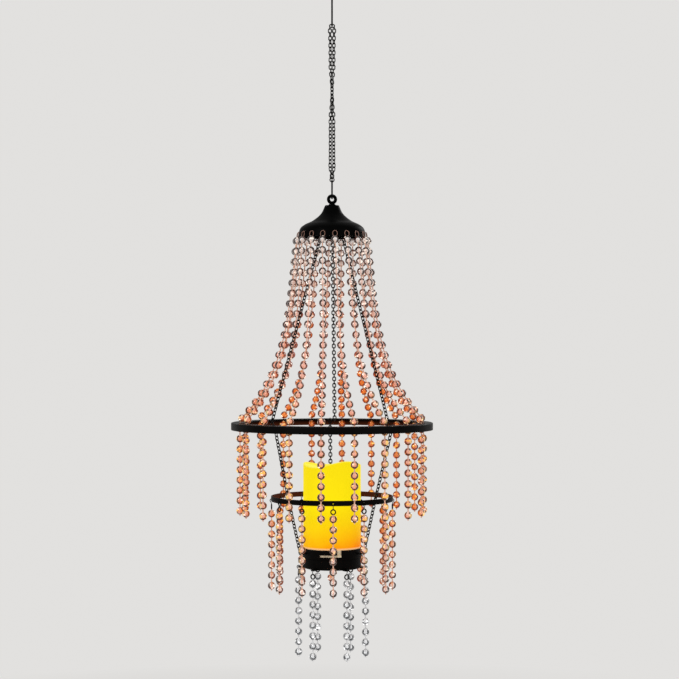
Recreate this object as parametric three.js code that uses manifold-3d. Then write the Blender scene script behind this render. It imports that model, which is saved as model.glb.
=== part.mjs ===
// A hanging chandelier of clear beads round a pillar candle with an electric light.
// Millimetres, +Z up, -Y is the front. The origin is the seat of the hanger hook. Everything hangs below it.
import * as THREE from 'three';
import { mergeVertices } from 'three/addons/utils/BufferGeometryUtils.js';
import Module from 'manifold-3d';

const wasm = await Module();
wasm.setup();

// Fits shared by all pieces
const clearance = 0.3;
const overrun = 2;

// Hanger hook
const hangerWire = 2.3;
const hangerBendRadius = 8;
const hangerEyeRadius = 3.4;
const hangerLength = 37.8;
const hangerTipLength = 4;
const hangerOffsetHeight = 14;
const hangerNeckShare = 0.6;
const hangerLeanShare = 0.45;
const hangerDropShare = 0.7;

// Chains: fine round links
const chainPitch = 4.74;
const linksPerFacet = 2;
const linkWidth = 5.6;
const linkWire = 1.5;
const hangingLinks = 42;
const hangingSpread = 4.4;
const joinLinkRadius = 2.7;
const joinLinkWire = 1.5;

// S-hook and crown eye
const sHookWire = 1.8;
const sHookLength = 18.4;
const sHookUpperRadius = 2.1;
const sHookLowerRadius = 3.6;
const sHookUpperAngle = 250;
const sHookLowerAngle = 220;
const eyeRadius = 4.6;
const eyeWire = 4.4;
const eyeCollarRadius = 4.6;
const eyeCollarHeight = 1.6;
const shankRadius = 2;
const shankBore = 2.3;

// Crown cap
const crownTopRadius = 9.2;
const crownRimRadius = 44.3;
const crownHeight = 42.2;
const crownWall = 1.5;
const crownHoleHeight = 6.8;

// Crown nut and its chain plate
const nutRadius = 6;
const nutHeight = 5;
const nutNeckRadius = 4;
const nutNeckHeight = 5;
const sheet = 1.5;

// Wire hooks at the ends of strands and chains, and the holes that they pass
const hookRadius = 2;
const hookHoleRadius = 1.3;
const hookWire = 1.2;
const hookGripAngle = 230;
const hookTailAngle = 50;
const hookTipShare = 1.5;
const ringGripShare = 1.7;

// Beads
const beadRadius = 4.7;
const beadPitch = 13.46;
const threadRadius = 0.8;
const threadEnd = 8.5;
const jumpRingRadius = 3.2;
const jumpRingDrop = 8.2;
const firstBeadDrop = 17.3;

// Large ring and its strands
const largeRingRadius = 132.5;
const largeRingHeight = 9.3;
const largeRingFlange = 19.5;
const largeRingDrop = 242.5;
const strandHoleInset = 12;
const strandHoleRadius = 2;
const strandCount = 18;
const strandPhaseAngle = -6.3;
const strandTwistAngle = 8.7;
const tailBeadCount = 9;
const strandLeanIn = 2.5;
const straightShare = 0.32;
const bellPower = 4.1;
const crownHang = 2.9;
const crownFirstBead = 4.7;

// Small ring and its strands
const smallRingRadius = 80;
const smallRingHeight = 6.8;
const smallRingDrop = 96;
const smallStrandCount = 12;
const smallStrandPhaseAngle = 1.3;
const shortStrandBeadCount = 8;
const tabWidth = 9;
const tabReach = 8.4;
const chainHoleRadius = 1.9;

// Candle cup
const cupRadius = 38.6;
const cupHeight = 26.3;
const cupWall = 1.2;
const cupFloor = 1.5;
const cupCorner = 3;
const cupSeamDrop = 12.6;
const cupSeamStep = 0.4;
const cupFingerHole = 12;
const cupDrop = 68;
const chainEarDrop = 5;
const earHoleOffset = 3.9;
const earWidth = 7;
const cupStrandReach = 5.4;
const cupStrandCount = 6;
const cupStrandPhaseAngle = -34;

// Bayonet slots of the cup and pegs of the candle
const bayonetCount = 3;
const bayonetMouthFromAngle = 10;
const bayonetMouthToAngle = 18.8;
const bayonetLockToAngle = -24.8;
const bayonetDepth = 9;
const bayonetSlit = 2.8;
const pegHeight = 2.2;
const pegPlay = 0.7;
const pegReach = 2.2;

// Candle
const candlePlay = 0.4;
const shellProud = 0.7;
const shellWall = 5;
const shellHeight = 109.4;
const shellTopThickness = 6.5;
const shellRimWidth = 3.4;
const dishDepth = 4;
const waveHeight = 2;
const baseWall = 2;
const baseAboveRim = 0.3;
const coverThickness = 2;
const cellRadius = 7.2;
const cellEndRoom = 5.7;
const cellContactRadius = 2.7;
const cellContactHeight = 1.2;
const boardRadius = 12;
const boardThickness = 1.6;
const lampRadius = 2.5;
const lampHeight = 8.6;
const switchStemWidth = 3.6;
const switchStemLength = 5;
const switchHeadWidth = 6;
const switchHeadLength = 9;
const switchHeadThickness = 1.4;
const switchTravel = 4;
const switchProud = 1;

// Where the three chains run, in degrees from the front towards +X
const chainRuns = [
  { name: 'left', ring: -42, tab: -48, cup: -62 },
  { name: 'right', ring: 42, tab: 48, cup: 62 },
  { name: 'back', ring: 180, tab: 181.6, cup: 181.6 },
];
const chainHoleAngle = 1.6;

// Facets
const facetAngle = 6;
const holeSideCount = 6;
const sweepSideCount = 4;
const wireSideCount = 6;
const ringFacetCount = 36;
const largeRingFacetCount = 54;
const smallRingFacetCount = 48;

// Heights of the main pieces, worked out from the top down
const hangerEyeHeight = -hangerLength;
const hangerEyeBottom = hangerEyeHeight - hangerEyeRadius;
const joinLinkTop = hangerEyeBottom - hangingLinks * chainPitch;
const joinLinkHeight = joinLinkTop - joinLinkRadius;
const joinLinkBottom = joinLinkHeight - joinLinkRadius;
const eyeTop = joinLinkBottom - sHookLength;
const eyeHeight = eyeTop - eyeRadius;
const eyeBottom = eyeHeight - eyeRadius - eyeWire / 2;
const crownTop = eyeBottom - eyeCollarHeight + clearance * 2;
const crownRim = crownTop - crownHeight;
const crownHole = crownRim + crownHoleHeight;
const nutTop = crownTop - crownWall - clearance;
const plateTop = nutTop - nutHeight - nutNeckHeight;
const plateHeight = plateTop - sheet / 2;
const largeRingTop = crownRim - largeRingDrop;
const flangeHeight = largeRingTop - sheet / 2;
const smallRingBottom = largeRingTop - smallRingDrop - smallRingHeight;
const tabHeight = smallRingBottom + smallRingHeight / 2;
const cupTop = smallRingBottom + smallRingHeight - cupDrop;
const cupBottom = cupTop - cupHeight;

// Sizes that follow from how a wire hook sits in its hole
const bridgeHalf = hookRadius - hookHoleRadius;
const plateRadius = nutNeckRadius + hookHoleRadius * 2 + hookRadius + bridgeHalf;
const platePivot = plateRadius - bridgeHalf;
const flangeInner = largeRingRadius - largeRingFlange;
const flangePivot = flangeInner + bridgeHalf;
const strandHole = largeRingRadius - strandHoleInset;
const smallRingMiddle = smallRingRadius - sheet / 2;
const smallRingPivot = smallRingBottom + bridgeHalf;
const tabHole = smallRingRadius - sheet - tabReach / 2;
const cupEarPivot = cupRadius + earHoleOffset + hookRadius;
const cupEarHeight = cupTop - chainEarDrop - sheet / 2;
const cupTabHeight = cupBottom + sheet / 2;
const cupStrandRadius = cupRadius + cupStrandReach;
const baseRadius = cupRadius - cupWall - candlePlay;
const shellRadius = baseRadius + shellProud;
const cellSpread = cellRadius + clearance * 1.5;
const cellLength = 2 * Math.sqrt((baseRadius - baseWall - cellEndRoom) ** 2 - (cellSpread + cellRadius) ** 2);

const angle = THREE.MathUtils.degToRad;

// A point at a radius and height, with its azimuth in degrees from the front towards +X
function polar(radius, azimuth, height) {
  const turn = angle(azimuth);
  return new THREE.Vector3(radius * Math.sin(turn), -radius * Math.cos(turn), height);
}

// The level direction that points along a circle round the lamp at an azimuth
function along(azimuth) {
  const turn = angle(azimuth);
  return new THREE.Vector3(Math.cos(turn), Math.sin(turn), 0);
}

// Joins shared corners, drops flat triangles and turns the faces outwards
function closed(geometry) {
  geometry.deleteAttribute('normal');
  geometry.deleteAttribute('uv');
  const merged = mergeVertices(geometry);
  const corners = merged.index.array;
  const kept = [];
  for (let i = 0; i < corners.length; i += 3) {
    const [a, b, c] = [corners[i], corners[i + 1], corners[i + 2]];
    if (a !== b && b !== c && c !== a) kept.push(a, b, c);
  }
  if (volume(merged.attributes.position, kept) < 0) kept.reverse();
  merged.setIndex(kept);
  merged.computeVertexNormals();
  return merged;
}

function volume(position, index) {
  const a = new THREE.Vector3();
  const b = new THREE.Vector3();
  const c = new THREE.Vector3();
  let sum = 0;
  for (let i = 0; i < index.length; i += 3) {
    a.fromBufferAttribute(position, index[i]);
    b.fromBufferAttribute(position, index[i + 1]);
    c.fromBufferAttribute(position, index[i + 2]);
    sum += a.dot(b.cross(c));
  }
  return sum;
}

function toSolid(geometry) {
  const vertProperties = Float32Array.from(geometry.attributes.position.array);
  const triVerts = Uint32Array.from(geometry.index.array);
  return new wasm.Manifold(new wasm.Mesh({ numProp: 3, vertProperties, triVerts }));
}

function toGeometry(solid) {
  const mesh = solid.getMesh();
  const geometry = new THREE.BufferGeometry();
  geometry.setAttribute('position', new THREE.Float32BufferAttribute(mesh.vertProperties, 3));
  geometry.setIndex(Array.from(mesh.triVerts));
  return closed(geometry);
}

function joined(geometries) {
  return toGeometry(geometries.map(toSolid).reduce((whole, next) => whole.add(next)));
}

function cut(geometry, tools) {
  return toGeometry(tools.map(toSolid).reduce((whole, tool) => whole.subtract(tool), toSolid(geometry)));
}

// An outline of [radius, height] pairs turned round the lamp's axis
function turned(outline, segments) {
  const points = outline.map(([radius, height]) => new THREE.Vector2(radius, height));
  return closed(new THREE.LatheGeometry(points, segments).rotateX(Math.PI / 2));
}

// A ring: its outline closes on itself
function turnedRing(outline, segments) {
  return turned([...outline, outline[0]], segments);
}

function cylinder(radius, bottom, top, sides) {
  return turned([[0, bottom], [radius, bottom], [radius, top], [0, top]], sides);
}

function block(width, depth, height, x, y, z) {
  return closed(new THREE.BoxGeometry(width, depth, height).translate(x, y, z));
}

// A block that bends round the axis between two radii, two azimuths and two heights
function sector(inner, outer, from, to, bottom, top) {
  const steps = Math.max(1, Math.round((to - from) / facetAngle));
  const shape = new THREE.Shape();
  const corners = [];
  for (let i = 0; i <= steps; i += 1) corners.push(polar(outer, from + (i * (to - from)) / steps, 0));
  for (let i = steps; i >= 0; i -= 1) corners.push(polar(inner, from + (i * (to - from)) / steps, 0));
  shape.setFromPoints(corners.map((corner) => new THREE.Vector2(corner.x, corner.y)));
  const geometry = new THREE.ExtrudeGeometry(shape, { depth: top - bottom, bevelEnabled: false });
  return closed(geometry.translate(0, 0, bottom));
}

// An upright or radial pin that cuts a hole
function pinHole(radius, azimuth, distance, height, reach, radial) {
  const geometry = new THREE.CylinderGeometry(radius, radius, reach, holeSideCount);
  if (!radial) geometry.rotateX(Math.PI / 2);
  if (radial) geometry.rotateZ(angle(azimuth));
  const centre = polar(distance, azimuth, height);
  return closed(geometry.translate(centre.x, centre.y, centre.z));
}

// A solid swept through stations. Each has a point, a side direction and half widths along and across it.
function swept(stations, sides, looped = false) {
  const positions = [];
  const index = [];
  const last = stations.length - 1;
  stations.forEach((station, i) => {
    const before = stations[looped ? (i + last) % (last + 1) : Math.max(i - 1, 0)].at;
    const after = stations[looped ? (i + 1) % (last + 1) : Math.min(i + 1, last)].at;
    const forward = after.clone().sub(before).normalize();
    const side = station.side.clone().addScaledVector(forward, -station.side.dot(forward)).normalize();
    const up = forward.clone().cross(side);
    for (let k = 0; k < sides; k += 1) {
      const turn = (2 * Math.PI * k) / sides;
      const corner = station.at.clone();
      corner.addScaledVector(side, station.wide * Math.cos(turn));
      corner.addScaledVector(up, station.deep * Math.sin(turn));
      positions.push(corner.x, corner.y, corner.z);
    }
  });
  for (let i = 0; i < stations.length - (looped ? 0 : 1); i += 1) {
    const here = i * sides;
    const next = ((i + 1) % stations.length) * sides;
    for (let k = 0; k < sides; k += 1) {
      const turn = (k + 1) % sides;
      index.push(here + k, here + turn, next + turn, here + k, next + turn, next + k);
    }
  }
  for (let k = 1; k < sides - 1 && !looped; k += 1) {
    index.push(0, k + 1, k, last * sides, last * sides + k, last * sides + k + 1);
  }
  const geometry = new THREE.BufferGeometry();
  geometry.setAttribute('position', new THREE.Float32BufferAttribute(positions, 3));
  geometry.setIndex(index);
  return closed(geometry);
}

function station(at, side, wide, deep = wide) {
  return { at, side, wide, deep };
}

// Stations along a wire in the upright plane of an azimuth, through [radius, height] pairs
function wireInPlane(points, azimuth, half) {
  return points.map(([radius, height]) => station(polar(radius, azimuth, height), along(azimuth), half));
}

// [radius, height] pairs on an arc, with angles in degrees from outwards towards up
function arc(centreRadius, centreHeight, radius, from, to, steps) {
  const points = [];
  for (let i = 0; i <= steps; i += 1) {
    const turn = angle(from + ((to - from) * i) / steps);
    points.push([centreRadius + radius * Math.cos(turn), centreHeight + radius * Math.sin(turn)]);
  }
  return points;
}

// Pieces above the crown

function hangerHook() {
  const half = hangerWire / 2;
  const bendHeight = half - hangerBendRadius;
  const shank = [
    [0, hangerEyeHeight + hangerEyeRadius],
    [0, hangerEyeHeight + hangerEyeRadius + hangerOffsetHeight * hangerNeckShare],
    [-hangerBendRadius * hangerLeanShare, bendHeight - hangerBendRadius * hangerDropShare],
  ];
  const bend = arc(0, bendHeight, hangerBendRadius, 180, 0, 10);
  const tip = [[hangerBendRadius, bendHeight - hangerTipLength]];
  const wire = [...shank, ...bend, ...tip].map(([y, z]) =>
    station(new THREE.Vector3(0, y, z), new THREE.Vector3(1, 0, 0), half));
  const eye = closed(new THREE.TorusGeometry(hangerEyeRadius, half, wireSideCount, 14)
    .rotateY(Math.PI / 2).translate(0, 0, hangerEyeHeight));
  return joined([swept(wire, wireSideCount), eye]);
}

// Turns of the doubled chain at shares of its drop, in quarter turns
const twistShares = [
  [0, 0],
  [0.24, 0.2],
  [0.33, 0.74],
  [0.43, 1],
  [0.54, 1.26],
  [0.64, 1.85],
  [0.93, 2.1],
  [1, 3],
];

function twistAt(share) {
  const next = twistShares.findIndex(([at]) => at >= share);
  const [fromShare, fromTurn] = twistShares[Math.max(next - 1, 0)];
  const [toShare, toTurn] = twistShares[Math.max(next, 1)];
  return 90 * (fromTurn + ((toTurn - fromTurn) * (share - fromShare)) / (toShare - fromShare));
}

function hangingChain() {
  const half = linkWire / 2;
  const spread = hangingSpread / 2;
  const bottomCentre = joinLinkTop + spread - joinLinkWire / 2 - clearance - half;
  const direction = (turn) => new THREE.Vector3(Math.cos(angle(turn)), Math.sin(angle(turn)), 0);
  const run = [];
  const steps = Math.round(hangingLinks / linksPerFacet);
  for (let i = 0; i <= steps; i += 1) {
    const share = i / steps;
    const end = i === 0 || i === steps;
    const wide = end ? half : [linkWidth / 2, half][i % 2];
    const deep = end ? half : [half, linkWidth / 2][i % 2];
    const height = THREE.MathUtils.lerp(hangerEyeBottom, bottomCentre, share);
    run.push({ turn: twistAt(share), height, wide, deep });
  }
  const place = ({ turn, height, wide, deep }, sign) =>
    station(direction(turn).multiplyScalar(spread * sign).setZ(height), direction(turn + 45), wide, deep);
  const bow = (height, across, side, sign) => [-45, 0, 45].map((turn) => {
    const at = across.clone().multiplyScalar(-sign * spread * Math.sin(angle(turn)));
    return station(at.setZ(height + sign * spread * Math.cos(angle(turn))), side, half);
  });
  const down = run.map((link) => place(link, 1));
  const up = run.map((link) => place(link, -1)).reverse();
  const bottom = bow(bottomCentre, direction(270), direction(360), -1).reverse();
  const top = bow(hangerEyeBottom, direction(0), direction(90), 1).reverse();
  return swept([...down, ...bottom, ...up, ...top], sweepSideCount, true);
}

function joinLink() {
  return closed(new THREE.TorusGeometry(joinLinkRadius, joinLinkWire / 2, 6, 18)
    .rotateX(Math.PI / 2).translate(0, 0, joinLinkHeight));
}

function sHook() {
  const half = sHookWire / 2;
  const upperCentre = joinLinkBottom + joinLinkWire / 2 + clearance + half - sHookUpperRadius;
  const lowerCentre = eyeTop - eyeWire / 2 - clearance - half + sHookLowerRadius;
  const upper = arc(0, upperCentre, sHookUpperRadius, sHookUpperAngle, 0, 9);
  const lower = arc(0, lowerCentre, sHookLowerRadius, 180, 180 + sHookLowerAngle, 9);
  const wire = [...upper, ...lower].map(([y, z]) =>
    station(new THREE.Vector3(0, y, z), new THREE.Vector3(1, 0, 0), half));
  return swept(wire, 6);
}

function crownEye() {
  const eye = closed(new THREE.TorusGeometry(eyeRadius, eyeWire / 2, 8, 18)
    .rotateX(Math.PI / 2).translate(0, 0, eyeHeight));
  const collarBottom = crownTop + clearance;
  const shank = turned([
    [0, plateTop - sheet],
    [shankRadius, plateTop - sheet],
    [shankRadius, collarBottom],
    [eyeCollarRadius, collarBottom],
    [eyeCollarRadius, collarBottom + eyeCollarHeight / 2],
    [shankRadius + clearance, eyeBottom + eyeWire / 2],
    [0, eyeBottom + eyeWire / 2],
  ], 12);
  return joined([eye, shank]);
}

// The crown's outline: shares of the widening from top to rim, and of the height
const crownShares = [[0, 0], [0.16, 0.27], [0.46, 0.48], [0.76, 0.6], [0.94, 0.74], [1, 1]];

function crownCap() {
  const outer = crownShares.map(([wide, drop]) =>
    [crownTopRadius + (crownRimRadius - crownTopRadius) * wide, crownTop - crownHeight * drop]);
  const inner = outer.map(([radius, height], i) => {
    const [r0, z0] = outer[Math.max(i - 1, 0)];
    const [r1, z1] = outer[Math.min(i + 1, outer.length - 1)];
    const length = Math.hypot(r1 - r0, z1 - z0);
    return [radius + ((z1 - z0) / length) * crownWall, height - ((r1 - r0) / length) * crownWall];
  });
  inner[0] = [crownTopRadius - crownWall, crownTop - crownWall];
  inner[inner.length - 1] = [crownRimRadius - crownWall, crownRim];
  const outline = [[shankBore, crownTop], ...outer, ...inner.reverse(), [shankBore, crownTop - crownWall]];
  const holes = strands().map(({ crownAzimuth }) =>
    pinHole(hookHoleRadius, crownAzimuth, crownRimRadius, crownHole, crownWall * 2 + overrun * 2, true));
  return cut(turnedRing(outline, ringFacetCount), holes);
}

function crownNut() {
  const body = turnedRing([
    [shankBore, nutTop],
    [nutRadius, nutTop],
    [nutRadius, nutTop - nutHeight],
    [nutNeckRadius, nutTop - nutHeight],
    [nutNeckRadius, plateTop],
    [plateRadius, plateTop],
    [plateRadius, plateTop - sheet],
    [shankBore, plateTop - sheet],
  ], 18);
  const holeCircle = platePivot - hookRadius;
  const holes = chainRuns.map(({ ring }) =>
    pinHole(hookHoleRadius, ring - chainHoleAngle, holeCircle, plateHeight, sheet + overrun, false));
  return cut(body, holes);
}

// Bead strands

// The long strands: their azimuths at the large ring and at the crown
function strands() {
  return Array.from({ length: strandCount }, (_, i) => {
    const azimuth = strandPhaseAngle + (360 * i) / strandCount;
    return { azimuth, crownAzimuth: azimuth - strandTwistAngle };
  });
}

// A point on the bell of long strands, at a share of the way from the first bead to the last above the ring
function bellPoint(share, azimuth) {
  const topRadius = crownRimRadius + crownHang;
  const bottomRadius = strandHole - strandLeanIn;
  const top = crownRim - crownFirstBead;
  const bottom = flangeHeight + beadPitch / 2;
  const widening = straightShare * share + (1 - straightShare) * share ** bellPower;
  const turn = azimuth - strandTwistAngle * (1 - share);
  return {
    at: polar(topRadius + (bottomRadius - topRadius) * widening, turn, top + (bottom - top) * share),
    turn,
  };
}

// Shares that lie at even steps of length along the bell
function evenShares() {
  const fine = 600;
  const rounding = 1e-9;
  const lengths = [0];
  for (let i = 1; i <= fine; i += 1) {
    const step = bellPoint(i / fine, 0).at.distanceTo(bellPoint((i - 1) / fine, 0).at);
    lengths.push(lengths[i - 1] + step);
  }
  const steps = Math.round(lengths[fine] / beadPitch) * 2;
  return Array.from({ length: steps + 1 }, (_, i) => {
    const goal = (lengths[fine] * i) / steps;
    return Math.max(lengths.findIndex((length) => length >= goal - rounding), 0) / fine;
  });
}

const bellShares = evenShares();

// Stations of a straight row of beads that starts at a bead's middle, each bead widest there
function beadRow(radius, azimuth, top, count) {
  const row = [];
  for (let i = 0; i < count * 2 - 1; i += 1) {
    const half = i % 2 === 0 ? beadRadius : threadRadius;
    row.push(station(polar(radius, azimuth, top - (i * beadPitch) / 2), along(azimuth), half));
  }
  const end = top - (count - 1) * beadPitch - threadEnd;
  row.push(station(polar(radius, azimuth, end), along(azimuth), threadRadius));
  return row;
}

function longStrand({ azimuth, crownAzimuth }) {
  const half = hookWire / 2;
  const outside = crownRimRadius + crownHang;
  const inside = crownRimRadius - crownWall - hookRadius - half;
  const hook = wireInPlane([
    [inside, crownHole - hookRadius * hookTipShare],
    [inside, crownHole],
    [outside - half, crownHole],
    [outside, crownHole - hookRadius],
  ], crownAzimuth, half);
  const bell = bellShares.map((share, i) => {
    const { at, turn } = bellPoint(share, azimuth);
    return station(at, along(turn), i % 2 === 0 ? beadRadius : threadRadius);
  });
  const neck = station(polar(strandHole, azimuth, flangeHeight), along(azimuth), threadRadius);
  const top = station(bell[0].at.clone().setZ(bell[0].at.z + beadPitch / 2), bell[0].side, half);
  const tail = beadRow(strandHole, azimuth, flangeHeight - beadPitch / 2, tailBeadCount);
  return swept([...hook, top, ...bell, neck, ...tail], sweepSideCount);
}

// A strand that swings on a bridge of metal: a wire hook round the bridge, a jump ring, and a row of beads
function shortStrand(pivotRadius, pivotHeight, azimuth) {
  const half = hookWire / 2;
  const grip = arc(pivotRadius, pivotHeight, hookRadius, hookGripAngle, -hookTailAngle, 6);
  const hook = wireInPlane(grip, azimuth, half);
  const ringHeight = pivotHeight - jumpRingDrop;
  const link = [
    station(polar(pivotRadius, azimuth, pivotHeight - hookRadius * ringGripShare), along(azimuth), half),
    station(polar(pivotRadius, azimuth, ringHeight), along(azimuth), jumpRingRadius, half),
    station(polar(pivotRadius, azimuth, ringHeight - jumpRingRadius), along(azimuth), half),
  ];
  const row = beadRow(pivotRadius, azimuth, pivotHeight - firstBeadDrop, shortStrandBeadCount);
  return swept([...hook, ...link, ...row], sweepSideCount);
}

// Rings

function largeRing() {
  const body = turnedRing([
    [flangeInner, largeRingTop],
    [largeRingRadius, largeRingTop],
    [largeRingRadius, largeRingTop - largeRingHeight],
    [largeRingRadius - sheet, largeRingTop - largeRingHeight],
    [largeRingRadius - sheet, largeRingTop - sheet],
    [flangeInner, largeRingTop - sheet],
  ], largeRingFacetCount);
  const strandHoles = strands().map(({ azimuth }) =>
    pinHole(strandHoleRadius, azimuth, strandHole, flangeHeight, sheet + overrun, false));
  const chainAzimuths = chainRuns.flatMap(({ ring }) => [ring - chainHoleAngle, ring + chainHoleAngle]);
  const chainHoles = chainAzimuths.map((azimuth) =>
    pinHole(hookHoleRadius, azimuth, flangePivot + hookRadius, flangeHeight, sheet + overrun, false));
  return cut(body, [...strandHoles, ...chainHoles]);
}

function smallRing() {
  const inner = smallRingRadius - sheet;
  const top = smallRingBottom + smallRingHeight;
  const band = turnedRing([
    [inner, smallRingBottom],
    [smallRingRadius, smallRingBottom],
    [smallRingRadius, top],
    [inner, top],
  ], smallRingFacetCount);
  const halfTab = THREE.MathUtils.radToDeg(tabWidth / 2 / tabHole);
  const tabs = chainRuns.map(({ tab }) =>
    sector(inner - tabReach, inner + sheet / 2, tab - halfTab, tab + halfTab, tabHeight - sheet / 2,
      tabHeight + sheet / 2));
  const tabHoles = chainRuns.map(({ tab }) =>
    pinHole(chainHoleRadius, tab, tabHole, tabHeight, sheet + overrun, false));
  const strandHoles = smallStrandAzimuths().map((azimuth) =>
    pinHole(hookHoleRadius, azimuth, smallRingMiddle, smallRingPivot + hookRadius, sheet + overrun, true));
  return cut(joined([band, ...tabs]), [...tabHoles, ...strandHoles]);
}

function smallStrandAzimuths() {
  const step = 360 / smallStrandCount;
  return Array.from({ length: smallStrandCount }, (_, i) => smallStrandPhaseAngle + step * i);
}

function cupStrandAzimuths() {
  const step = 360 / cupStrandCount;
  return Array.from({ length: cupStrandCount }, (_, i) => cupStrandPhaseAngle + step * i);
}

// Chains between the crown, the rings and the cup

// Stations of a straight stretch of links, wide and narrow in turn, without its two end points
function links(from, to, side) {
  const count = Math.round(from.distanceTo(to) / chainPitch / linksPerFacet);
  const half = linkWire / 2;
  return Array.from({ length: count - 1 }, (_, i) => {
    const at = from.clone().lerp(to, (i + 1) / count);
    const flat = i % 2 === 0;
    return station(at, side, flat ? linkWidth / 2 : half, flat ? half : linkWidth / 2);
  });
}

function upperChain({ ring }) {
  const azimuth = ring - chainHoleAngle;
  const half = hookWire / 2;
  const top = wireInPlane(arc(platePivot, plateHeight, hookRadius, hookGripAngle, 0, 5), azimuth, half);
  const grip = arc(flangePivot, flangeHeight, hookRadius, -180, hookTailAngle, 5);
  const bottom = wireInPlane(grip, azimuth, half);
  return swept([...top, ...links(top.at(-1).at, bottom[0].at, along(azimuth)), ...bottom], sweepSideCount);
}

function lowerChain({ ring, tab, cup }) {
  const azimuth = ring + chainHoleAngle;
  const half = hookWire / 2;
  const top = wireInPlane(arc(flangePivot, flangeHeight, hookRadius, -hookTailAngle, 180, 5), azimuth, half);
  const middle = station(polar(tabHole, tab, tabHeight), along(tab), half);
  const bottom = wireInPlane(arc(cupEarPivot, cupEarHeight, hookRadius, 0, -hookGripAngle, 5), cup, half);
  const upper = links(top.at(-1).at, middle.at, along(tab));
  const lower = links(middle.at, bottom[0].at, along(tab));
  return swept([...top, ...upper, middle, ...lower, ...bottom], sweepSideCount);
}

// Cup and candle

function candleCup() {
  const inner = cupRadius - cupWall;
  const seam = cupTop - cupSeamDrop;
  const body = turnedRing([
    [cupFingerHole, cupBottom],
    [cupRadius - cupSeamStep - cupCorner, cupBottom],
    [cupRadius - cupSeamStep, cupBottom + cupCorner],
    [cupRadius - cupSeamStep, seam],
    [cupRadius, seam],
    [cupRadius, cupTop],
    [inner, cupTop],
    [inner, cupBottom + cupFloor],
    [cupFingerHole, cupBottom + cupFloor],
  ], ringFacetCount);
  const halfEar = THREE.MathUtils.radToDeg(earWidth / 2 / cupRadius);
  const chainEars = chainRuns.map(({ cup }) => sector(inner + cupWall / 2, cupEarPivot + bridgeHalf,
    cup - halfEar, cup + halfEar, cupEarHeight - sheet / 2, cupEarHeight + sheet / 2));
  const strandEars = cupStrandAzimuths().map((azimuth) =>
    sector(inner - cupCorner * 2, cupStrandRadius + bridgeHalf, azimuth - halfEar, azimuth + halfEar,
      cupBottom, cupBottom + sheet));
  const chainHoles = chainRuns.map(({ cup }) =>
    pinHole(hookHoleRadius, cup, cupEarPivot - hookRadius, cupEarHeight, sheet + overrun, false));
  const strandHoles = cupStrandAzimuths().map((azimuth) =>
    pinHole(hookHoleRadius, azimuth, cupStrandRadius - hookRadius, cupTabHeight, sheet + overrun, false));
  return cut(joined([body, ...chainEars, ...strandEars]), [...chainHoles, ...strandHoles, ...bayonetSlots()]);
}

function bayonetSlots() {
  const slitBottom = cupTop - bayonetDepth;
  const inner = cupRadius - cupWall - overrun;
  const outer = cupRadius + overrun;
  return Array.from({ length: bayonetCount }, (_, i) => (360 * i) / bayonetCount).flatMap((turn) => [
    sector(inner, outer, bayonetMouthFromAngle + turn, bayonetMouthToAngle + turn, slitBottom,
      cupTop + overrun),
    sector(inner, outer, bayonetLockToAngle + turn, bayonetMouthToAngle + turn, slitBottom,
      slitBottom + bayonetSlit),
  ]);
}

const baseTop = cupTop + baseAboveRim;
const baseBottom = cupBottom + cupFloor + clearance;
const coverTop = baseBottom + coverThickness;

function candleBase() {
  const body = turned([
    [0, baseTop],
    [baseRadius, baseTop],
    [baseRadius, baseBottom],
    [baseRadius - baseWall, baseBottom],
    [baseRadius - baseWall, baseTop - baseWall],
    [0, baseTop - baseWall],
  ], ringFacetCount);
  const pegBottom = cupTop - bayonetDepth + (bayonetSlit - pegHeight) / 2;
  const pegs = Array.from({ length: bayonetCount }, (_, i) => (360 * i) / bayonetCount).map((turn) =>
    sector(baseRadius - baseWall / 2, baseRadius + pegReach, bayonetMouthFromAngle + pegPlay + turn,
      bayonetMouthToAngle - pegPlay + turn, pegBottom, pegBottom + pegHeight));
  return joined([body, ...pegs]);
}

// The candle's top rim rises and falls in soft waves, like melted wax: once, twice and three times round,
// each with its share of the wave height and the azimuth of its crest
const waveShares = [[1, 0.92, 24], [2, 0.98, 50], [3, 0.91, 23]];

function waveAt(azimuth) {
  return waveShares.reduce((sum, [times, share, crest]) =>
    sum + share * Math.cos(angle(times * (azimuth - crest))), 0);
}

function candleShell() {
  const bottom = baseTop + clearance;
  const top = bottom + shellHeight;
  const inner = shellRadius - shellWall;
  const dish = top - dishDepth;
  const outline = [
    { radius: inner, height: bottom, waveShare: 0 },
    { radius: shellRadius, height: bottom, waveShare: 0 },
    { radius: shellRadius, height: top - shellRimWidth / 2, waveShare: 1 },
    { radius: shellRadius - shellRimWidth / 2, height: top, waveShare: 1 },
    { radius: shellRadius - shellRimWidth, height: top - shellRimWidth / 2, waveShare: 1 },
    { radius: inner, height: dish, waveShare: 0.75 },
    { radius: 0, height: dish - shellRimWidth / 2, waveShare: 0 },
    { radius: 0, height: dish - shellTopThickness, waveShare: 0 },
    { radius: inner, height: dish - shellTopThickness, waveShare: 0 },
  ];
  const geometry = turnedRing(outline.map(({ radius, height }) => [radius, height]), ringFacetCount);
  const position = geometry.attributes.position;
  for (let i = 0; i < position.count; i += 1) {
    const [x, y, z] = [position.getX(i), position.getY(i), position.getZ(i)];
    const azimuth = THREE.MathUtils.radToDeg(Math.atan2(x, -y));
    const nearest = outline.reduce((best, point) => {
      const gap = Math.hypot(point.radius - Math.hypot(x, y), point.height - z);
      return gap < best.gap ? { gap, waveShare: point.waveShare } : best;
    }, { gap: Infinity, waveShare: 0 });
    position.setZ(i, z + waveHeight * nearest.waveShare * waveAt(azimuth));
  }
  geometry.computeVertexNormals();
  return geometry;
}

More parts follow.
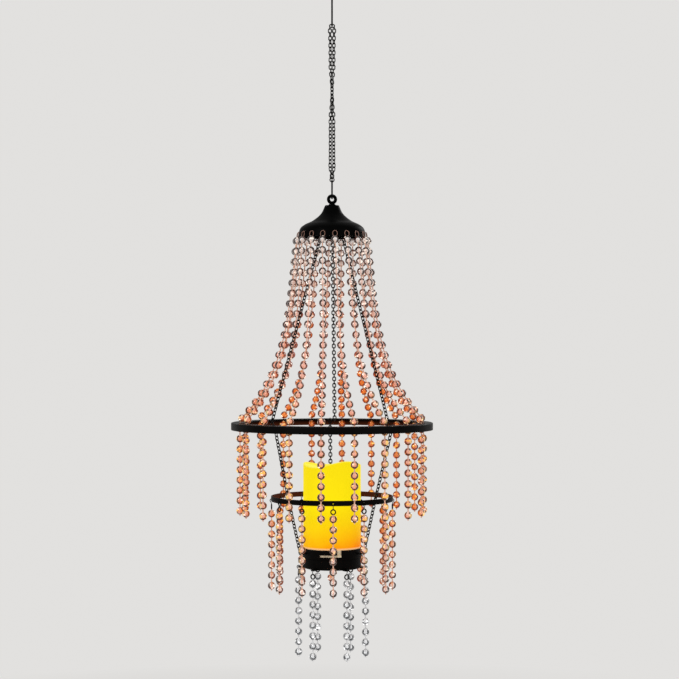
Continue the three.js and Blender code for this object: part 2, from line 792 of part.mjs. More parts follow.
function lightBoard() {
  const bottom = baseTop + clearance;
  const top = bottom + boardThickness;
  const neck = top + lampHeight - lampRadius;
  const dome = arc(0, neck, lampRadius, 0, 90, 3);
  return turned([[0, bottom], [boardRadius, bottom], [boardRadius, top], [lampRadius, top], ...dome], 18);
}

const cellHeight = coverTop + clearance + cellRadius;

// A dry cell that lies along Y, with its contact at one end
function batteryCell(sideSign, endSign) {
  const half = cellLength / 2;
  const shoulder = half - cellContactHeight;
  const outline = [[0, -half], [cellRadius, -half], [cellRadius, shoulder], [cellContactRadius, shoulder],
    [cellContactRadius, half], [0, half]];
  const geometry = turned(outline, 16).rotateX((endSign * Math.PI) / 2);
  return geometry.translate(sideSign * cellSpread, 0, cellHeight);
}

function batteryCover() {
  const disc = cylinder(baseRadius - baseWall - clearance, baseBottom, coverTop, ringFacetCount);
  const slot = block(switchStemWidth + clearance * 2, switchStemLength + switchTravel + clearance * 2,
    coverThickness + overrun, 0, switchTravel / 2, baseBottom + coverThickness / 2);
  return cut(disc, [slot]);
}

function powerSwitch() {
  const headBottom = coverTop + clearance;
  const stemBottom = baseBottom - switchProud;
  const stemHeight = headBottom - stemBottom + switchHeadThickness / 2;
  return joined([
    block(switchHeadWidth, switchHeadLength, switchHeadThickness, 0, 0, headBottom + switchHeadThickness / 2),
    block(switchStemWidth, switchStemLength, stemHeight, 0, 0, stemBottom + stemHeight / 2),
  ]);
}

// Finishes

const blackSteel = { color: 0x191817, roughness: 0.42, metalness: 0.6 };
const chainSteel = { color: 0x161514, roughness: 0.35, metalness: 0.8 };
const clearBead = { color: 0xe8dcd3, roughness: 0.08, metalness: 0 };
const wax = { color: 0xffd61c, roughness: 0.6, metalness: 0 };
const ivory = { color: 0xe9dfc4, roughness: 0.5, metalness: 0 };
const boardGreen = { color: 0x2f6a46, roughness: 0.5, metalness: 0 };
const cellSleeve = { color: 0x2b2d33, roughness: 0.35, metalness: 0.5 };
const switchGrey = { color: 0x3a3a3c, roughness: 0.55, metalness: 0 };

const lamp = new THREE.Group();

function add(name, geometry, finish) {
  const mesh = new THREE.Mesh(geometry, new THREE.MeshStandardMaterial(finish));
  mesh.name = name;
  lamp.add(mesh);
}

const twoDigits = (i) => String(i + 1).padStart(2, '0');

add('hanger_hook', hangerHook(), blackSteel);
add('hanging_chain', hangingChain(), chainSteel);
add('join_link', joinLink(), chainSteel);
add('s_hook', sHook(), blackSteel);
add('crown_eye', crownEye(), blackSteel);
add('crown_cap', crownCap(), blackSteel);
add('crown_nut', crownNut(), blackSteel);
add('large_ring', largeRing(), blackSteel);
add('small_ring', smallRing(), blackSteel);
chainRuns.forEach((run) => add(`upper_chain_${run.name}`, upperChain(run), chainSteel));
chainRuns.forEach((run) => add(`lower_chain_${run.name}`, lowerChain(run), chainSteel));
add('candle_cup', candleCup(), blackSteel);
add('candle_shell', candleShell(), wax);
add('candle_base', candleBase(), ivory);
add('light_board', lightBoard(), boardGreen);
add('battery_left', batteryCell(-1, 1), cellSleeve);
add('battery_right', batteryCell(1, -1), cellSleeve);
add('battery_cover', batteryCover(), ivory);
add('power_switch', powerSwitch(), switchGrey);
strands().forEach((strand, i) => add(`long_strand_${twoDigits(i)}`, longStrand(strand), clearBead));
smallStrandAzimuths().forEach((azimuth, i) =>
  add(`ring_strand_${twoDigits(i)}`, shortStrand(smallRingMiddle, smallRingPivot, azimuth), clearBead));
cupStrandAzimuths().forEach((azimuth, i) =>
  add(`cup_strand_${twoDigits(i)}`, shortStrand(cupStrandRadius, cupTabHeight, azimuth), clearBead));

export default lamp;
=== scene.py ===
# %% [markdown]
# # A hanging chandelier of clear beads
# The lamp hangs from a doubled chain. A small black bell, the crown, carries eighteen long strands
# of clear beads that swing out over a large ring. Shorter strands hang below it from a small ring
# and from the cup of a pillar candle. The solids of the lamp come in as a fixed frame, and this
# file dresses them with finer pieces and finishes. The frame comes first, because every piece that
# is made here rides on one of its bodies.

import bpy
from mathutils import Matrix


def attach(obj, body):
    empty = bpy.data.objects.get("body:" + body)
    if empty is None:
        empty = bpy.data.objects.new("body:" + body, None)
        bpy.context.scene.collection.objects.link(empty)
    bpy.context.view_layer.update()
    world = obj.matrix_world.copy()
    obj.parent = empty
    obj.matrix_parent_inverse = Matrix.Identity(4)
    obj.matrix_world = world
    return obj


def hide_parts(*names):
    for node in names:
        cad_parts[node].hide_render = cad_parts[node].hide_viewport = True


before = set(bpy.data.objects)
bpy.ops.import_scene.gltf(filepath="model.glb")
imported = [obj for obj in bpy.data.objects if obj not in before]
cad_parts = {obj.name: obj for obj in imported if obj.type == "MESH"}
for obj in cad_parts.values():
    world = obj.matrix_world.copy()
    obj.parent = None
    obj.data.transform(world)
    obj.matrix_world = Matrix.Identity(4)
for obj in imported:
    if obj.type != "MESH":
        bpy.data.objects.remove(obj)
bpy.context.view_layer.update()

# %% [markdown]
# Everything is in metres and hangs below the origin, where the hanger hook sits on its support.
# Heights are easier to read in millimetres, so one named factor turns them into metres, and the
# sizes that several pieces share are listed once.

# %% Shared sizes
import math
import bpy
import numpy as np

MM = 0.001
CROWN_TOP, CROWN_RIM, CROWN_HOLE = -276.48, -318.68, -311.88
RING_TOP, FLANGE_MIDDLE, STRAND_HOLE = -561.18, -561.93, 120.5
SMALL_TOP, SMALL_BOTTOM, SMALL_PIVOT, TAB_MIDDLE = -657.18, -663.98, -663.28, -660.58
CUP_TOP, CUP_BOTTOM = -725.18, -751.48
WALL = 1.5  # thickness of all sheet metal
HOOK_BEND = 2.0  # radius to which the wire hooks are bent
print("lamp from crown to cup:", round((CROWN_TOP - CUP_BOTTOM) / 10, 1), "cm")

# %% [markdown]
# The camera stands level with the strands between crown and large ring, a little to the right of
# the lamp's axis, and far enough away for the two rings to show as thin ellipses. It comes early,
# so that each piece can be looked at as soon as it is made.

# %% The camera
camera_data = bpy.data.cameras.new("camera")
camera_data.lens, camera_data.sensor_width = 98.0, 36.0
camera = bpy.data.objects.new("camera", camera_data)
camera.location = (0.0098, -2.424, -0.4524)
camera.rotation_euler = (math.radians(90), 0, 0)
bpy.context.scene.collection.objects.link(camera)
bpy.context.scene.camera = camera
print("field of view:", round(math.degrees(camera_data.angle), 1), "degrees")

# %% [markdown]
# ## How shapes are made
# Every new shape is a pair: an array of points, and groups of faces that name those points. A shape
# can be worked out with whole-array sums, put beside others, and only then becomes a mesh. The lamp
# is round, so places are mostly given as a radius, an azimuth from the front towards the right, and
# a height.

# %% Places round the lamp's axis
def polar(radius, azimuth, height):
    """x: radius times the sine of the azimuth, y: minus radius times its cosine, z: height."""
    turn = np.radians(azimuth)
    return np.stack(np.broadcast_arrays(radius * np.sin(turn), -radius * np.cos(turn), height), -1)


def along(azimuth):
    """The level direction along a circle round the axis: cosine and sine of the azimuth."""
    turn = np.radians(azimuth)
    return np.stack(np.broadcast_arrays(np.cos(turn), np.sin(turn), 0 * turn), -1)


def circle_of(count):
    """Azimuths at even steps, once round."""
    return np.linspace(0, 360, count, endpoint=False)


def unit(vectors):
    """Each vector divided by its length."""
    return vectors / np.linalg.norm(vectors, axis=-1, keepdims=True)


print("a point at the front, 10 mm out:", polar(10, 0, 0))

# %% [markdown]
# A surface on a grid needs one rule for its faces: each cell of the grid is one four-sided face.
# The columns go round and close on themselves, as on a tube. The rows may do so too, as on a ring.

# %% Faces of a grid
def grid_faces(rows, columns, loop_rows=False):
    """Cell (r, c) joins the points (r, c), (r, c + 1), (r + 1, c + 1) and (r + 1, c), and the
    count starts again at the end of a direction that loops."""
    r = np.arange(rows if loop_rows else rows - 1)[:, None]
    c = np.arange(columns)[None, :]
    r1, c1 = (r + 1) % rows, (c + 1) % columns
    corners = (r * columns + c, r * columns + c1, r1 * columns + c1, r1 * columns + c)
    return np.stack(np.broadcast_arrays(*corners), -1).reshape(-1, 4)


def together(shapes):
    """One shape from several: all points, and each shape's numbers raised by the points before."""
    points, faces, count = [], [], 0
    for shape_points, shape_faces in shapes:
        points.append(shape_points.reshape(-1, 3))
        faces += [group + count for group in shape_faces]
        count += len(points[-1])
    return np.concatenate(points), faces


print("faces of a closed 4 by 6 grid:", len(grid_faces(4, 6, True)))

# %% [markdown]
# A wire, a thread and a ring are all a small round profile carried along a path. A curve with a
# bevel could do that too, but a tube that is worked out here is a plain mesh at once. Each station
# of the path has a side direction, which is made square to the path, so the profile never turns
# over. A tube that ends is closed by one flat face at each end.

# %% A profile carried along a path
def square_to(forward, side):
    """The side direction less its share along forward, at unit length, and forward cross side."""
    side = unit(side - (side * forward).sum(-1, keepdims=True) * forward)
    return side, np.cross(forward, side)


def tube(path, side, radius, sides=8, looped=False):
    """At each path point: point + radius * (cos t * side + sin t * up), up square to both."""
    before = np.roll(path, 1, 0) if looped else np.concatenate([path[:1], path[:-1]])
    after = np.roll(path, -1, 0) if looped else np.concatenate([path[1:], path[-1:]])
    side, up = square_to(unit(after - before), np.broadcast_to(side, path.shape))
    t = np.linspace(0, 2 * np.pi, sides, endpoint=False)[None, :, None]
    reach = np.broadcast_to(np.asarray(radius, float), (len(path),))[:, None, None]
    points = path[:, None] + reach * (np.cos(t) * side[:, None] + np.sin(t) * up[:, None])
    faces = [grid_faces(len(path), sides, looped)]
    if not looped:
        last = (len(path) - 1) * sides
        faces.append(np.stack([np.arange(sides)[::-1], last + np.arange(sides)]))
    return points, faces


print("points of a short tube:", tube(polar(0, 0, np.arange(3.0)), along(0.0), 1.0)[0].shape)

# %% [markdown]
# Paths are drawn as pairs of a radius and a height in one upright plane. Two kinds are enough for
# all bent wire here: an arc, and a smooth curve that passes through a few given points.

# %% Arcs, smooth curves and bent wires
def smooth(points, steps):
    """A curve through all the points. Each stretch blends four of them with cubic weights."""
    p = np.asarray(points, float)
    p = np.concatenate([2 * p[:1] - p[1:2], p, 2 * p[-1:] - p[-2:-1]])
    t = np.linspace(0, 1, steps, endpoint=False)[None, :, None]
    a, b, c, d = (p[i: len(p) - 3 + i, None] for i in range(4))
    square, cube = 2 * a - 5 * b + 4 * c - d, 3 * b - a - 3 * c + d
    curve = 0.5 * (2 * b + (c - a) * t + square * t**2 + cube * t**3)
    return np.concatenate([curve.reshape(-1, p.shape[1]), p[-2:-1]])


def arc(centre_radius, centre_height, radius, start, end, steps):
    """[radius, height] pairs: centre plus radius times cosine and sine of the running angle."""
    t = np.radians(np.linspace(start, end, steps + 1))
    return np.stack([centre_radius + radius * np.cos(t), centre_height + radius * np.sin(t)], -1)


def narrowed(count, radius, *shares):
    """The radius at each station. The first and last few take a share of it, as a cut wire does."""
    reach = np.full(count, float(radius))
    for station, share in enumerate(shares):
        reach[[station, -1 - station]] *= share
    return reach


def wire(pairs, azimuth, radius, sides=8):
    """A tube through [radius, height] pairs in the upright plane of one azimuth."""
    path = polar(pairs[:, 0], azimuth, pairs[:, 1])
    return tube(path, along(azimuth), narrowed(len(path), radius, 0.72), sides)


def ring(centre, plane_azimuth, radius, half, steps, sides):
    """Centre + radius * (cosine times the outward direction of one azimuth + sine times up)."""
    t = np.radians(circle_of(steps))[:, None]
    outward, upward = polar(1.0, plane_azimuth, 0.0), np.array([0, 0, 1.0])
    path = np.asarray(centre) + radius * (np.cos(t) * outward + np.sin(t) * upward)
    return tube(path, along(plane_azimuth), half, sides, looped=True)


print("stations on a smoothed wire of 5 points:", len(smooth(np.zeros((5, 2)), 6)))

# %% [markdown]
# Shapes that go round the axis, such as the collar of the eye bolt and the candle, are an outline
# turned round it. Where the outline starts and ends on the axis, one point closes each pole.

# %% An outline turned round the axis
def turned(radius, height, azimuths):
    """Row i, column j is the point at radius[i], azimuths[j] and height[i, j]. The first and last
    row shrink to one point each."""
    points = polar(radius[:, None], azimuths[None, :], height)
    rows, columns = len(radius) - 2, len(azimuths)
    ends = np.stack([points[0].mean(0), points[-1].mean(0)])
    c = np.arange(columns)
    after, pole = (c + 1) % columns, np.full(columns, rows * columns)
    last = (rows - 1) * columns
    fans = [np.stack([pole, after, c], -1), np.stack([pole + 1, last + c, last + after], -1)]
    return np.concatenate([points[1:-1].reshape(-1, 3), ends]), [grid_faces(rows, columns), *fans]


disc = turned(np.array([0, 5, 5, 0]), np.array([1, 1, 0, 0])[:, None], circle_of(12))
print("points of a turned disc:", len(disc[0]))

# %% [markdown]
# The crown, the two rings and the cup are sheet metal with holes and slots. Cutting these out of a
# finished solid would leave ragged faces, so a sheet is two grids, an outer and an inner face, over
# the same cells. Cells can be left out, and a wall closes the sheet wherever a kept cell meets a
# missing one. A round hole takes the four cells round one grid point, and their corners are pulled
# in to a circle.

# %% Holes and walls of sheet metal
def open_holes(faces, gone, holes):
    """Near each hole's middle: corner = middle + (corner - middle) * the root of a half."""
    i, j = np.asarray(holes[0], int), np.asarray(holes[1], int)
    for down in (-1, 1):
        for across in (-1, 1):
            corner = (i + down, (j + across) % faces[0].shape[1])
            for face in faces:
                face[corner] = face[i, j] + (face[corner] - face[i, j]) * math.sqrt(0.5)
            gone[i + min(down, 0), (j + min(across, 0)) % gone.shape[1]] = True


def cell_sides(numbers, looped):
    """The point numbers on the left and on the right of each column of cells."""
    return (numbers, np.roll(numbers, -1, 1)) if looped else (numbers[:, :-1], numbers[:, 1:])


def wall_faces(over, under, gone, looped):
    """One wall for each edge of a cell that has a kept cell on one side and none on the other."""
    left, right = cell_sides(over, looped)
    low_left, low_right = cell_sides(under, looped)
    edge = np.ones((1, gone.shape[1]), bool)
    above, below = np.concatenate([edge, gone]), np.concatenate([gone, edge])
    edge = np.ones((len(gone), 1), bool)
    before = np.roll(gone, 1, 1) if looped else np.concatenate([edge, gone], 1)
    after = gone if looped else np.concatenate([gone, edge], 1)
    return [
        np.stack([right, left, low_left, low_right], -1)[above & ~below],
        np.stack([left, right, low_right, low_left], -1)[~above & below],
        np.stack([over[:-1], over[1:], under[1:], under[:-1]], -1)[before & ~after],
        np.stack([over[1:], over[:-1], under[:-1], under[1:]], -1)[~before & after],
    ]


print("columns of cells in a strip of 5 points:", cell_sides(np.zeros((2, 5)), False)[0].shape[1])

# %% [markdown]
# With these helpers a whole sheet is short. Grid lines have to pass through the middle and the
# edges of every hole, so another helper lays them there and fills the rest evenly.

# %% Sheet metal with holes
def sheet(outer, inner, holes=((), ()), cut=None, looped=True):
    """Two grids of points joined into one closed sheet. holes lists the rows and columns of the
    hole middles, and cut marks the cells that are left out."""
    outer, inner = outer.copy(), inner.copy()
    rows, columns = outer.shape[:2]
    shape = (rows - 1, columns if looped else columns - 1)
    gone = np.zeros(shape, bool) if cut is None else cut.copy()
    open_holes((outer, inner), gone, holes)
    over = np.arange(rows * columns).reshape(rows, columns)
    under = over + rows * columns
    faces = []
    for numbers, order in ((over, 1), (under, -1)):
        left, right = cell_sides(numbers, looped)
        cells = np.stack([left[:-1], right[:-1], right[1:], left[1:]], -1)
        faces.append(cells[~gone][:, ::order])
    faces += wall_faces(over, under, gone, looped)
    used, new = np.unique(np.concatenate([f.ravel() for f in faces]), return_inverse=True)
    points = np.concatenate([outer.reshape(-1, 3), inner.reshape(-1, 3)])[used]
    ends = np.cumsum([f.size for f in faces])[:-1]
    return points, [part.reshape(-1, 4) for part in np.split(new, ends)]


def round_sheet(outer, inner, columns, holes=((), ()), cut=None):
    """A sheet that goes round the axis, from rows of [radius, height] and a list of azimuths."""
    grids = (polar(rows[:, :1], columns[None, :], rows[:, 1:]) for rows in (outer, inner))
    return sheet(*grids, holes, cut)


def with_holes(marks, half_widths, fill):
    """Each mark, one line a half width to both sides, and the fill lines that keep clear of them
    by a quarter of the half width."""
    marks = np.atleast_1d(marks)
    half_widths = np.broadcast_to(half_widths, marks.shape)
    near = np.concatenate([marks - half_widths, marks, marks + half_widths])
    clear = np.abs(fill[:, None] - marks[None, :]) > 1.25 * half_widths[None, :]
    return np.unique(np.concatenate([near, fill[clear.all(1)]]).round(6))


def nearest(lines, marks):
    """The number of the grid line that lies nearest to each mark."""
    return np.abs(lines[None, :] - np.atleast_1d(marks)[:, None]).argmin(1)


print("grid lines round one hole:", with_holes(5.0, 1.0, np.arange(0.0, 11, 2.5)))

# %% [markdown]
# A shape becomes a piece when it gets a name, a finish, the body that it rides on and the solid
# that it stands for. Faces have to point outwards, and the signed volume tells: it is the sum over
# all faces of the product of their corners, and it comes out negative when they point inwards.

# %% From a shape to a piece of the lamp
def outwards(points, groups):
    """The same faces, turned round if the volume inside them comes out negative."""
    total = 0.0
    for group in groups:
        for k in range(1, group.shape[1] - 1):
            a, b, c = points[group[:, 0]], points[group[:, k]], points[group[:, k + 1]]
            total += np.einsum("ij,ij->", a, np.cross(b, c))
    return groups if total > 0 else [group[:, ::-1] for group in groups]


made_faces = {}


def piece(name, shapes, finishes, body, solids, sharp=35, facets=None):
    """shapes has one shape for each finish. Sizes in mm become metres, edges sharper than `sharp`
    degrees stay crisp, and facets draws a tone for each face."""
    shapes = [(points.reshape(-1, 3), groups) for points, groups in shapes]
    shapes = [(points, outwards(points - points.mean(0), groups)) for points, groups in shapes]
    points, groups = together(shapes)
    mesh = bpy.data.meshes.new(name)
    mesh.from_pydata((points * MM).tolist(), [], [f for group in groups for f in group.tolist()])
    counts = [sum(map(len, shape_groups)) for _, shape_groups in shapes]
    finish_numbers = np.repeat(np.arange(len(counts)), counts).astype(np.int32)
    mesh.polygons.foreach_set("material_index", finish_numbers)
    for finish in finishes:
        mesh.materials.append(finish)
    mesh.shade_smooth()
    mesh.set_sharp_from_angle(angle=math.radians(sharp))
    if facets is not None:
        corners = np.concatenate([np.full(len(group), group.shape[1]) for group in groups])
        tone = mesh.attributes.new("facet", "FLOAT", "CORNER")
        tones = np.repeat(facets(len(corners)), corners)
        tone.data.foreach_set("value", tones.astype(np.float32))
    mesh.validate()
    thing = bpy.data.objects.new(name, mesh)
    bpy.context.scene.collection.objects.link(thing)
    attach(thing, body)
    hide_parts(*solids)
    made_faces[name] = len(mesh.polygons)


print("ready to make pieces")

# %% [markdown]
# ## How finishes are made
# A finish is a small network of shader nodes. Written as plain sums it stays readable, so a class
# wraps a socket and turns Python's operators into Math nodes. The reflected forms let a number
# stand first, as in 1 - mask.

# %% A number inside a finish
class Amount:
    """A value that a network works out at each point. Arithmetic on it adds Math nodes."""

    def __init__(self, network, socket):
        self.network, self.socket = network, socket

    def _sum(self, operation, first, second):
        return self.network.node("ShaderNodeMath", {"operation": operation}, {0: first, 1: second})

    def __add__(self, other):
        return self._sum("ADD", self, other)

    def __sub__(self, other):
        return self._sum("SUBTRACT", self, other)

    def __rsub__(self, other):
        return self._sum("SUBTRACT", other, self)

    def __mul__(self, other):
        return self._sum("MULTIPLY", self, other)

    def __pow__(self, other):
        return self._sum("POWER", self, other)

    def __rpow__(self, other):
        return self._sum("POWER", other, self)

    def __gt__(self, other):
        return self._sum("GREATER_THAN", self, other)

    def __lt__(self, other):
        return self._sum("LESS_THAN", self, other)

    def __abs__(self):
        return self._sum("ABSOLUTE", self, 0.0)

    __radd__, __rmul__ = __add__, __mul__


print("reflected operators:", [name for name in vars(Amount) if name.startswith("__r")])

# %% [markdown]
# All other nodes come from one method, which sets a node's kind first, then its settings, and then
# its values and links. Finishes and the world both need it, so it belongs to a class of its own.

# %% A network of nodes
class Network:
    """The nodes of a finish or of the world."""

    def __init__(self, tree):
        self.tree = tree

    def node(self, kind, settings, values, output=0):
        """Adds a node: settings first, a ramp's stops among them, then each socket's value."""
        made = self.tree.nodes.new(kind)
        for name, value in settings.items():
            if name == "stops":
                while len(made.color_ramp.elements) < len(value):
                    made.color_ramp.elements.new(1.0)
                for element, (position, colour) in zip(made.color_ramp.elements, value):
                    element.position, element.color = position, (*colour, 1.0)
            else:
                setattr(made, name, value)
        for socket, value in values.items():
            self.give(made.inputs[socket], value)
        return Amount(self, made.outputs[output])

    def give(self, socket, value):
        """Links the socket to an amount, or sets it to a plain value."""
        if isinstance(value, Amount):
            self.tree.links.new(value.socket, socket)
        else:
            socket.default_value = value

    def between(self, value, low, high, to_low=0.0, to_high=1.0):
        """The value moved from the range low..high to to_low..to_high, and held at its ends."""
        values = {0: value, 1: low, 2: high, 3: to_low, 4: to_high}
        return self.node("ShaderNodeMapRange", {"clamp": True}, values)

    def ramp(self, value, stops):
        """The colour that a list of [place, colour] stops has at the value."""
        return self.node("ShaderNodeValToRGB", {"stops": stops}, {0: value})

    def mix(self, share, first, second, blend="MIX"):
        """Two colours mixed: second counts by the share."""
        first, second = ((*c, 1.0) if isinstance(c, tuple) else c for c in (first, second))
        settings = {"data_type": "RGBA", "blend_type": blend}
        return self.node("ShaderNodeMix", settings, {0: share, 6: first, 7: second}, 2)

    def seen_directly(self):
        """One for rays from the camera, from mirrors and through glass, and zero for others."""
        camera, mirror, glass = (
            self.node("ShaderNodeLightPath", {}, {}, f"Is {kind} Ray")
            for kind in ("Camera", "Glossy", "Transmission")
        )
        return self.between(camera + mirror + glass, 0.0, 1.0)


print("methods of a network:", [name for name in vars(Network) if not name.startswith("__")])

# %% [markdown]
# The finish itself starts as a Principled shader. Its constant values sit on the shader's own
# sockets, and what changes over a surface comes in by links. Patterns read Object coordinates in
# metres, so they keep their size on every piece. The direction to the lamp's axis is worked out
# from them too, because it tells which side of a bead or ring faces the candle.

# %% A finish
class Finish(Network):
    """A named material with a Principled shader and helpers for the nodes in front of it."""

    def __init__(self, name, **constants):
        self.material = bpy.data.materials.new(name)
        self.material.use_nodes = True
        super().__init__(self.material.node_tree)
        self.shader = self.tree.nodes["Principled BSDF"]
        self.set(**constants)
        self.place = self.node("ShaderNodeTexCoord", {}, {}, "Object")

    def set(self, **values):
        """Gives values or links to the shader's sockets, named with _ for a space."""
        for name, value in values.items():
            self.give(self.shader.inputs[name.replace("_", " ")], value)
        return self.material

    def noise(self, scale, detail=3.0, roughness=0.55):
        """Soft clouds, about 1 / scale metres wide."""
        values = {"Vector": self.place, "Scale": scale, "Detail": detail, "Roughness": roughness}
        return self.node("ShaderNodeTexNoise", {"noise_dimensions": "3D"}, values, "Fac")

    def uneven(self, noise, low, high):
        """A noise as a number from low to high. Its own middle values lie from 0.3 to 0.7."""
        return self.between(noise, 0.3, 0.7, low, high)

    def bump(self, height, strength, distance):
        values = {"Height": height, "Strength": strength, "Distance": distance}
        return self.node("ShaderNodeBump", {}, values)

    def axis(self, name):
        """One of the three coordinates, in metres."""
        return self.node("ShaderNodeSeparateXYZ", {}, {0: self.place}, name)

    def normal(self):
        """The direction that the surface faces."""
        return self.node("ShaderNodeTexCoord", {}, {}, "Normal")

    def upward(self):
        """One where the surface faces up, zero on upright walls, minus one where it faces down."""
        return self.node("ShaderNodeSeparateXYZ", {}, {0: self.normal()}, "Z")

    def axis_direction(self):
        """The level direction from a point to the lamp's axis: minus x and minus y, at length 1."""
        values = {0: self.place, 1: (-1.0, -1.0, 0.0)}
        level = self.node("ShaderNodeVectorMath", {"operation": "MULTIPLY"}, values)
        return self.node("ShaderNodeVectorMath", {"operation": "NORMALIZE"}, {0: level})

    def inward(self):
        """One where the surface faces the lamp's axis, zero on its sides, below on its outside."""
        values = {0: self.axis_direction(), 1: self.normal()}
        return self.node("ShaderNodeVectorMath", {"operation": "DOT_PRODUCT"}, values, "Value")


BLACK, WHITE = (0.0, 0.0, 0.0), (1.0, 1.0, 1.0)
print("a finish starts with", len(Finish("trial").tree.nodes), "nodes")
bpy.data.materials.remove(bpy.data.materials["trial"])

# %% [markdown]
# The crown, rings, cup and hooks are steel with a satin black paint. Such paint is nearly black and
# throws back very little, so it is a plain dark plastic to the shader, with a weak gloss. The gloss
# changes slowly over the sheet, and the sprayed surface has a very fine orange peel. Small worn
# specks are lighter. Three sizes of noise give all of this: broad for the gloss, fine for the peel,
# sparse for the specks. Below the large ring's top, faces that look towards the candle catch a
# little of its light, so the insides of the rings are a dark red brown.

# %% Satin black paint
def black_paint(name, tint, gloss, shine):
    paint = Finish(name, Specular_IOR_Level=gloss, IOR=1.5, Emission_Strength=1.0)
    broad, fine = paint.noise(28.0), paint.noise(900.0, 2.0)
    specks = paint.between(paint.noise(420.0, 4.0, 0.7), 0.66, 0.74)
    dark = paint.ramp(broad, [(0.3, tint), (0.7, tuple(1.9 * c for c in tint))])
    below_ring_top = paint.between(paint.axis("Z"), -0.5640, -0.5700)
    candle_lit = paint.between(paint.inward(), 0.3, 1.0) * below_ring_top
    return paint.set(
        Base_Color=paint.mix(specks * 0.4, dark, (0.035, 0.031, 0.028)),
        Roughness=paint.uneven(broad, shine - 0.07, shine + 0.07) + fine * 0.05,
        Emission_Color=paint.mix(candle_lit, BLACK, (0.050, 0.010, 0.003)),
        Normal=paint.bump(fine, 0.35, 0.00008),
    )


paint_finish = black_paint("satin_black_paint", (0.0022, 0.0020, 0.0019), 0.02, 0.38)
crown_finish = black_paint("crown_black_paint", (0.0009, 0.0009, 0.0009), 0.010, 0.32)
print("paints:", paint_finish.name, crown_finish.name)

# %% [markdown]
# The chains and small rings are black plated wire. Plating is smoother and more metallic than
# paint, and it has rubbed to a brownish grey in places where one link wears on the next.

# %% Black plated wire
plating = Finish("black_plated_wire", Metallic=0.5, IOR=1.5, Specular_IOR_Level=0.15)
rubbed = plating.between(plating.noise(230.0, 4.0, 0.65), 0.52, 0.72)
wire_finish = plating.set(
    Base_Color=plating.mix(rubbed, (0.004, 0.0035, 0.0032), (0.030, 0.025, 0.021)),
    Roughness=plating.uneven(plating.noise(150.0), 0.24, 0.42),
    Normal=plating.bump(plating.noise(1600.0), 0.2, 0.00005),
)
print("plating nodes:", len(plating.tree.nodes))

# %% [markdown]
# The beads are clear acrylic with many small facets. A clear ball bends the light, so it shows a
# pale disc in its middle, a dark ring round it, and a thin pale rim. Real glass would need many
# rays for that in each of several hundred balls, and would look empty on a pale ground. So this
# light and shade are painted: the dark ring goes where the angle of view puts it, and a tone kept
# with each facet shifts its borders a little. The thread seen through the bead is a painted line,
# a few facets get painted glints, and a share of the colour is painted as a glow.

# %% Clear faceted acrylic
class BeadFinish(Finish):
    """Knows how each point lies on its ball as it is seen, and the tone of its facet."""

    def __init__(self, name):
        """Squared reach from the middle is 1 - (1 - Facing) squared. Without the squared height it
        is the square of the distance to the left or right."""
        super().__init__(name, Transmission_Weight=0.6, IOR=1.49, Roughness=0.04,
                         Emission_Strength=0.5)
        self.tone = self.node("ShaderNodeAttribute", {"attribute_name": "facet"}, {}, "Fac")
        facing = self.node("ShaderNodeLayerWeight", {}, {"Blend": 0.5}, "Facing")
        self.rise = self.upward()
        self.reach_squared = 1.0 - (1.0 - facing) ** 2
        sideways_squared = self.reach_squared - self.rise * self.rise
        self.sideways = self.between(sideways_squared, 0.0, 1.0) ** 0.5
        self.level = self.between(self.axis("Z"), -0.88, -0.31)

    def ringed(self, measure, stops, tint, shade):
        """The tint, and the shade as far as the stops say at this measure."""
        ring = self.ramp(measure, [(place, (dark, dark, dark)) for place, dark in stops])
        return self.mix(ring, tint, shade)

    def strung(self, colour, thread, glint_colour, glow):
        """The thread's line and glints painted on the colour, of which a share glows as painted
        light.
        """
        line = self.between(self.sideways, 0.24, 0.12) * 0.75
        colour = self.mix(line, colour, thread)
        # painted glints: facets of high tone take the glint colour, which also glows
        glint = self.between(self.tone, 0.90, 0.93)
        return self.set(
            Base_Color=self.mix(glint, colour, glint_colour),
            Emission_Color=self.mix(glint, self.mix(glow, BLACK, colour), glint_colour),
        )


print("steps from a plain to a strung bead:", [n for n in vars(BeadFinish) if "__" not in n])

# %% [markdown]
# Near the candle its light is painted into the beads: pink on the outside, orange where they face
# it, where the painted dark ring turns orange red too. Two ramps over the height hold these painted
# colours, from the lowest bead to the crown, where the beads are paler. The candle's light that
# each bead gathers on its far side, as a lens does, is painted there as a cream glow, but not where
# the candle stands straight behind it. Some of the painted glints are gold, a painted reflection
# of the candle.

# %% Beads in the candle's light
# painted candle light by height: pink and orange near the candle, paler near the crown and the foot
OUTSIDE_LIT = [(0.00, (0.86, 0.85, 0.84)), (0.20, (0.87, 0.83, 0.80)), (0.27, (0.88, 0.70, 0.63)),
           (0.34, (0.91, 0.56, 0.45)), (0.42, (0.96, 0.47, 0.33)), (0.60, (0.96, 0.45, 0.31)),
           (0.72, (0.89, 0.59, 0.50)), (0.86, (0.85, 0.74, 0.69)), (1.00, (0.83, 0.81, 0.79))]
CANDLE_SIDE_LIT = [(0.00, (0.84, 0.80, 0.77)), (0.20, (0.84, 0.70, 0.62)), (0.28, (0.92, 0.42, 0.20)),
               (0.36, (1.0, 0.23, 0.015)), (0.43, (0.84, 0.27, 0.09)), (0.53, (0.84, 0.27, 0.09)),
               (0.58, (1.0, 0.22, 0.010)), (0.74, (1.0, 0.22, 0.008)), (0.80, (0.96, 0.32, 0.08)),
               (0.86, (0.88, 0.48, 0.31)), (0.92, (0.84, 0.63, 0.55)), (1.00, (0.80, 0.74, 0.70))]
WARM_RING = [(0.0, 0.10), (0.46, 0.0), (0.62, 1.0), (0.96, 1.0), (1.0, 0.70)]
NEAR_CANDLE = [(0.05, BLACK), (0.3, WHITE), (0.72, WHITE), (0.95, BLACK)]


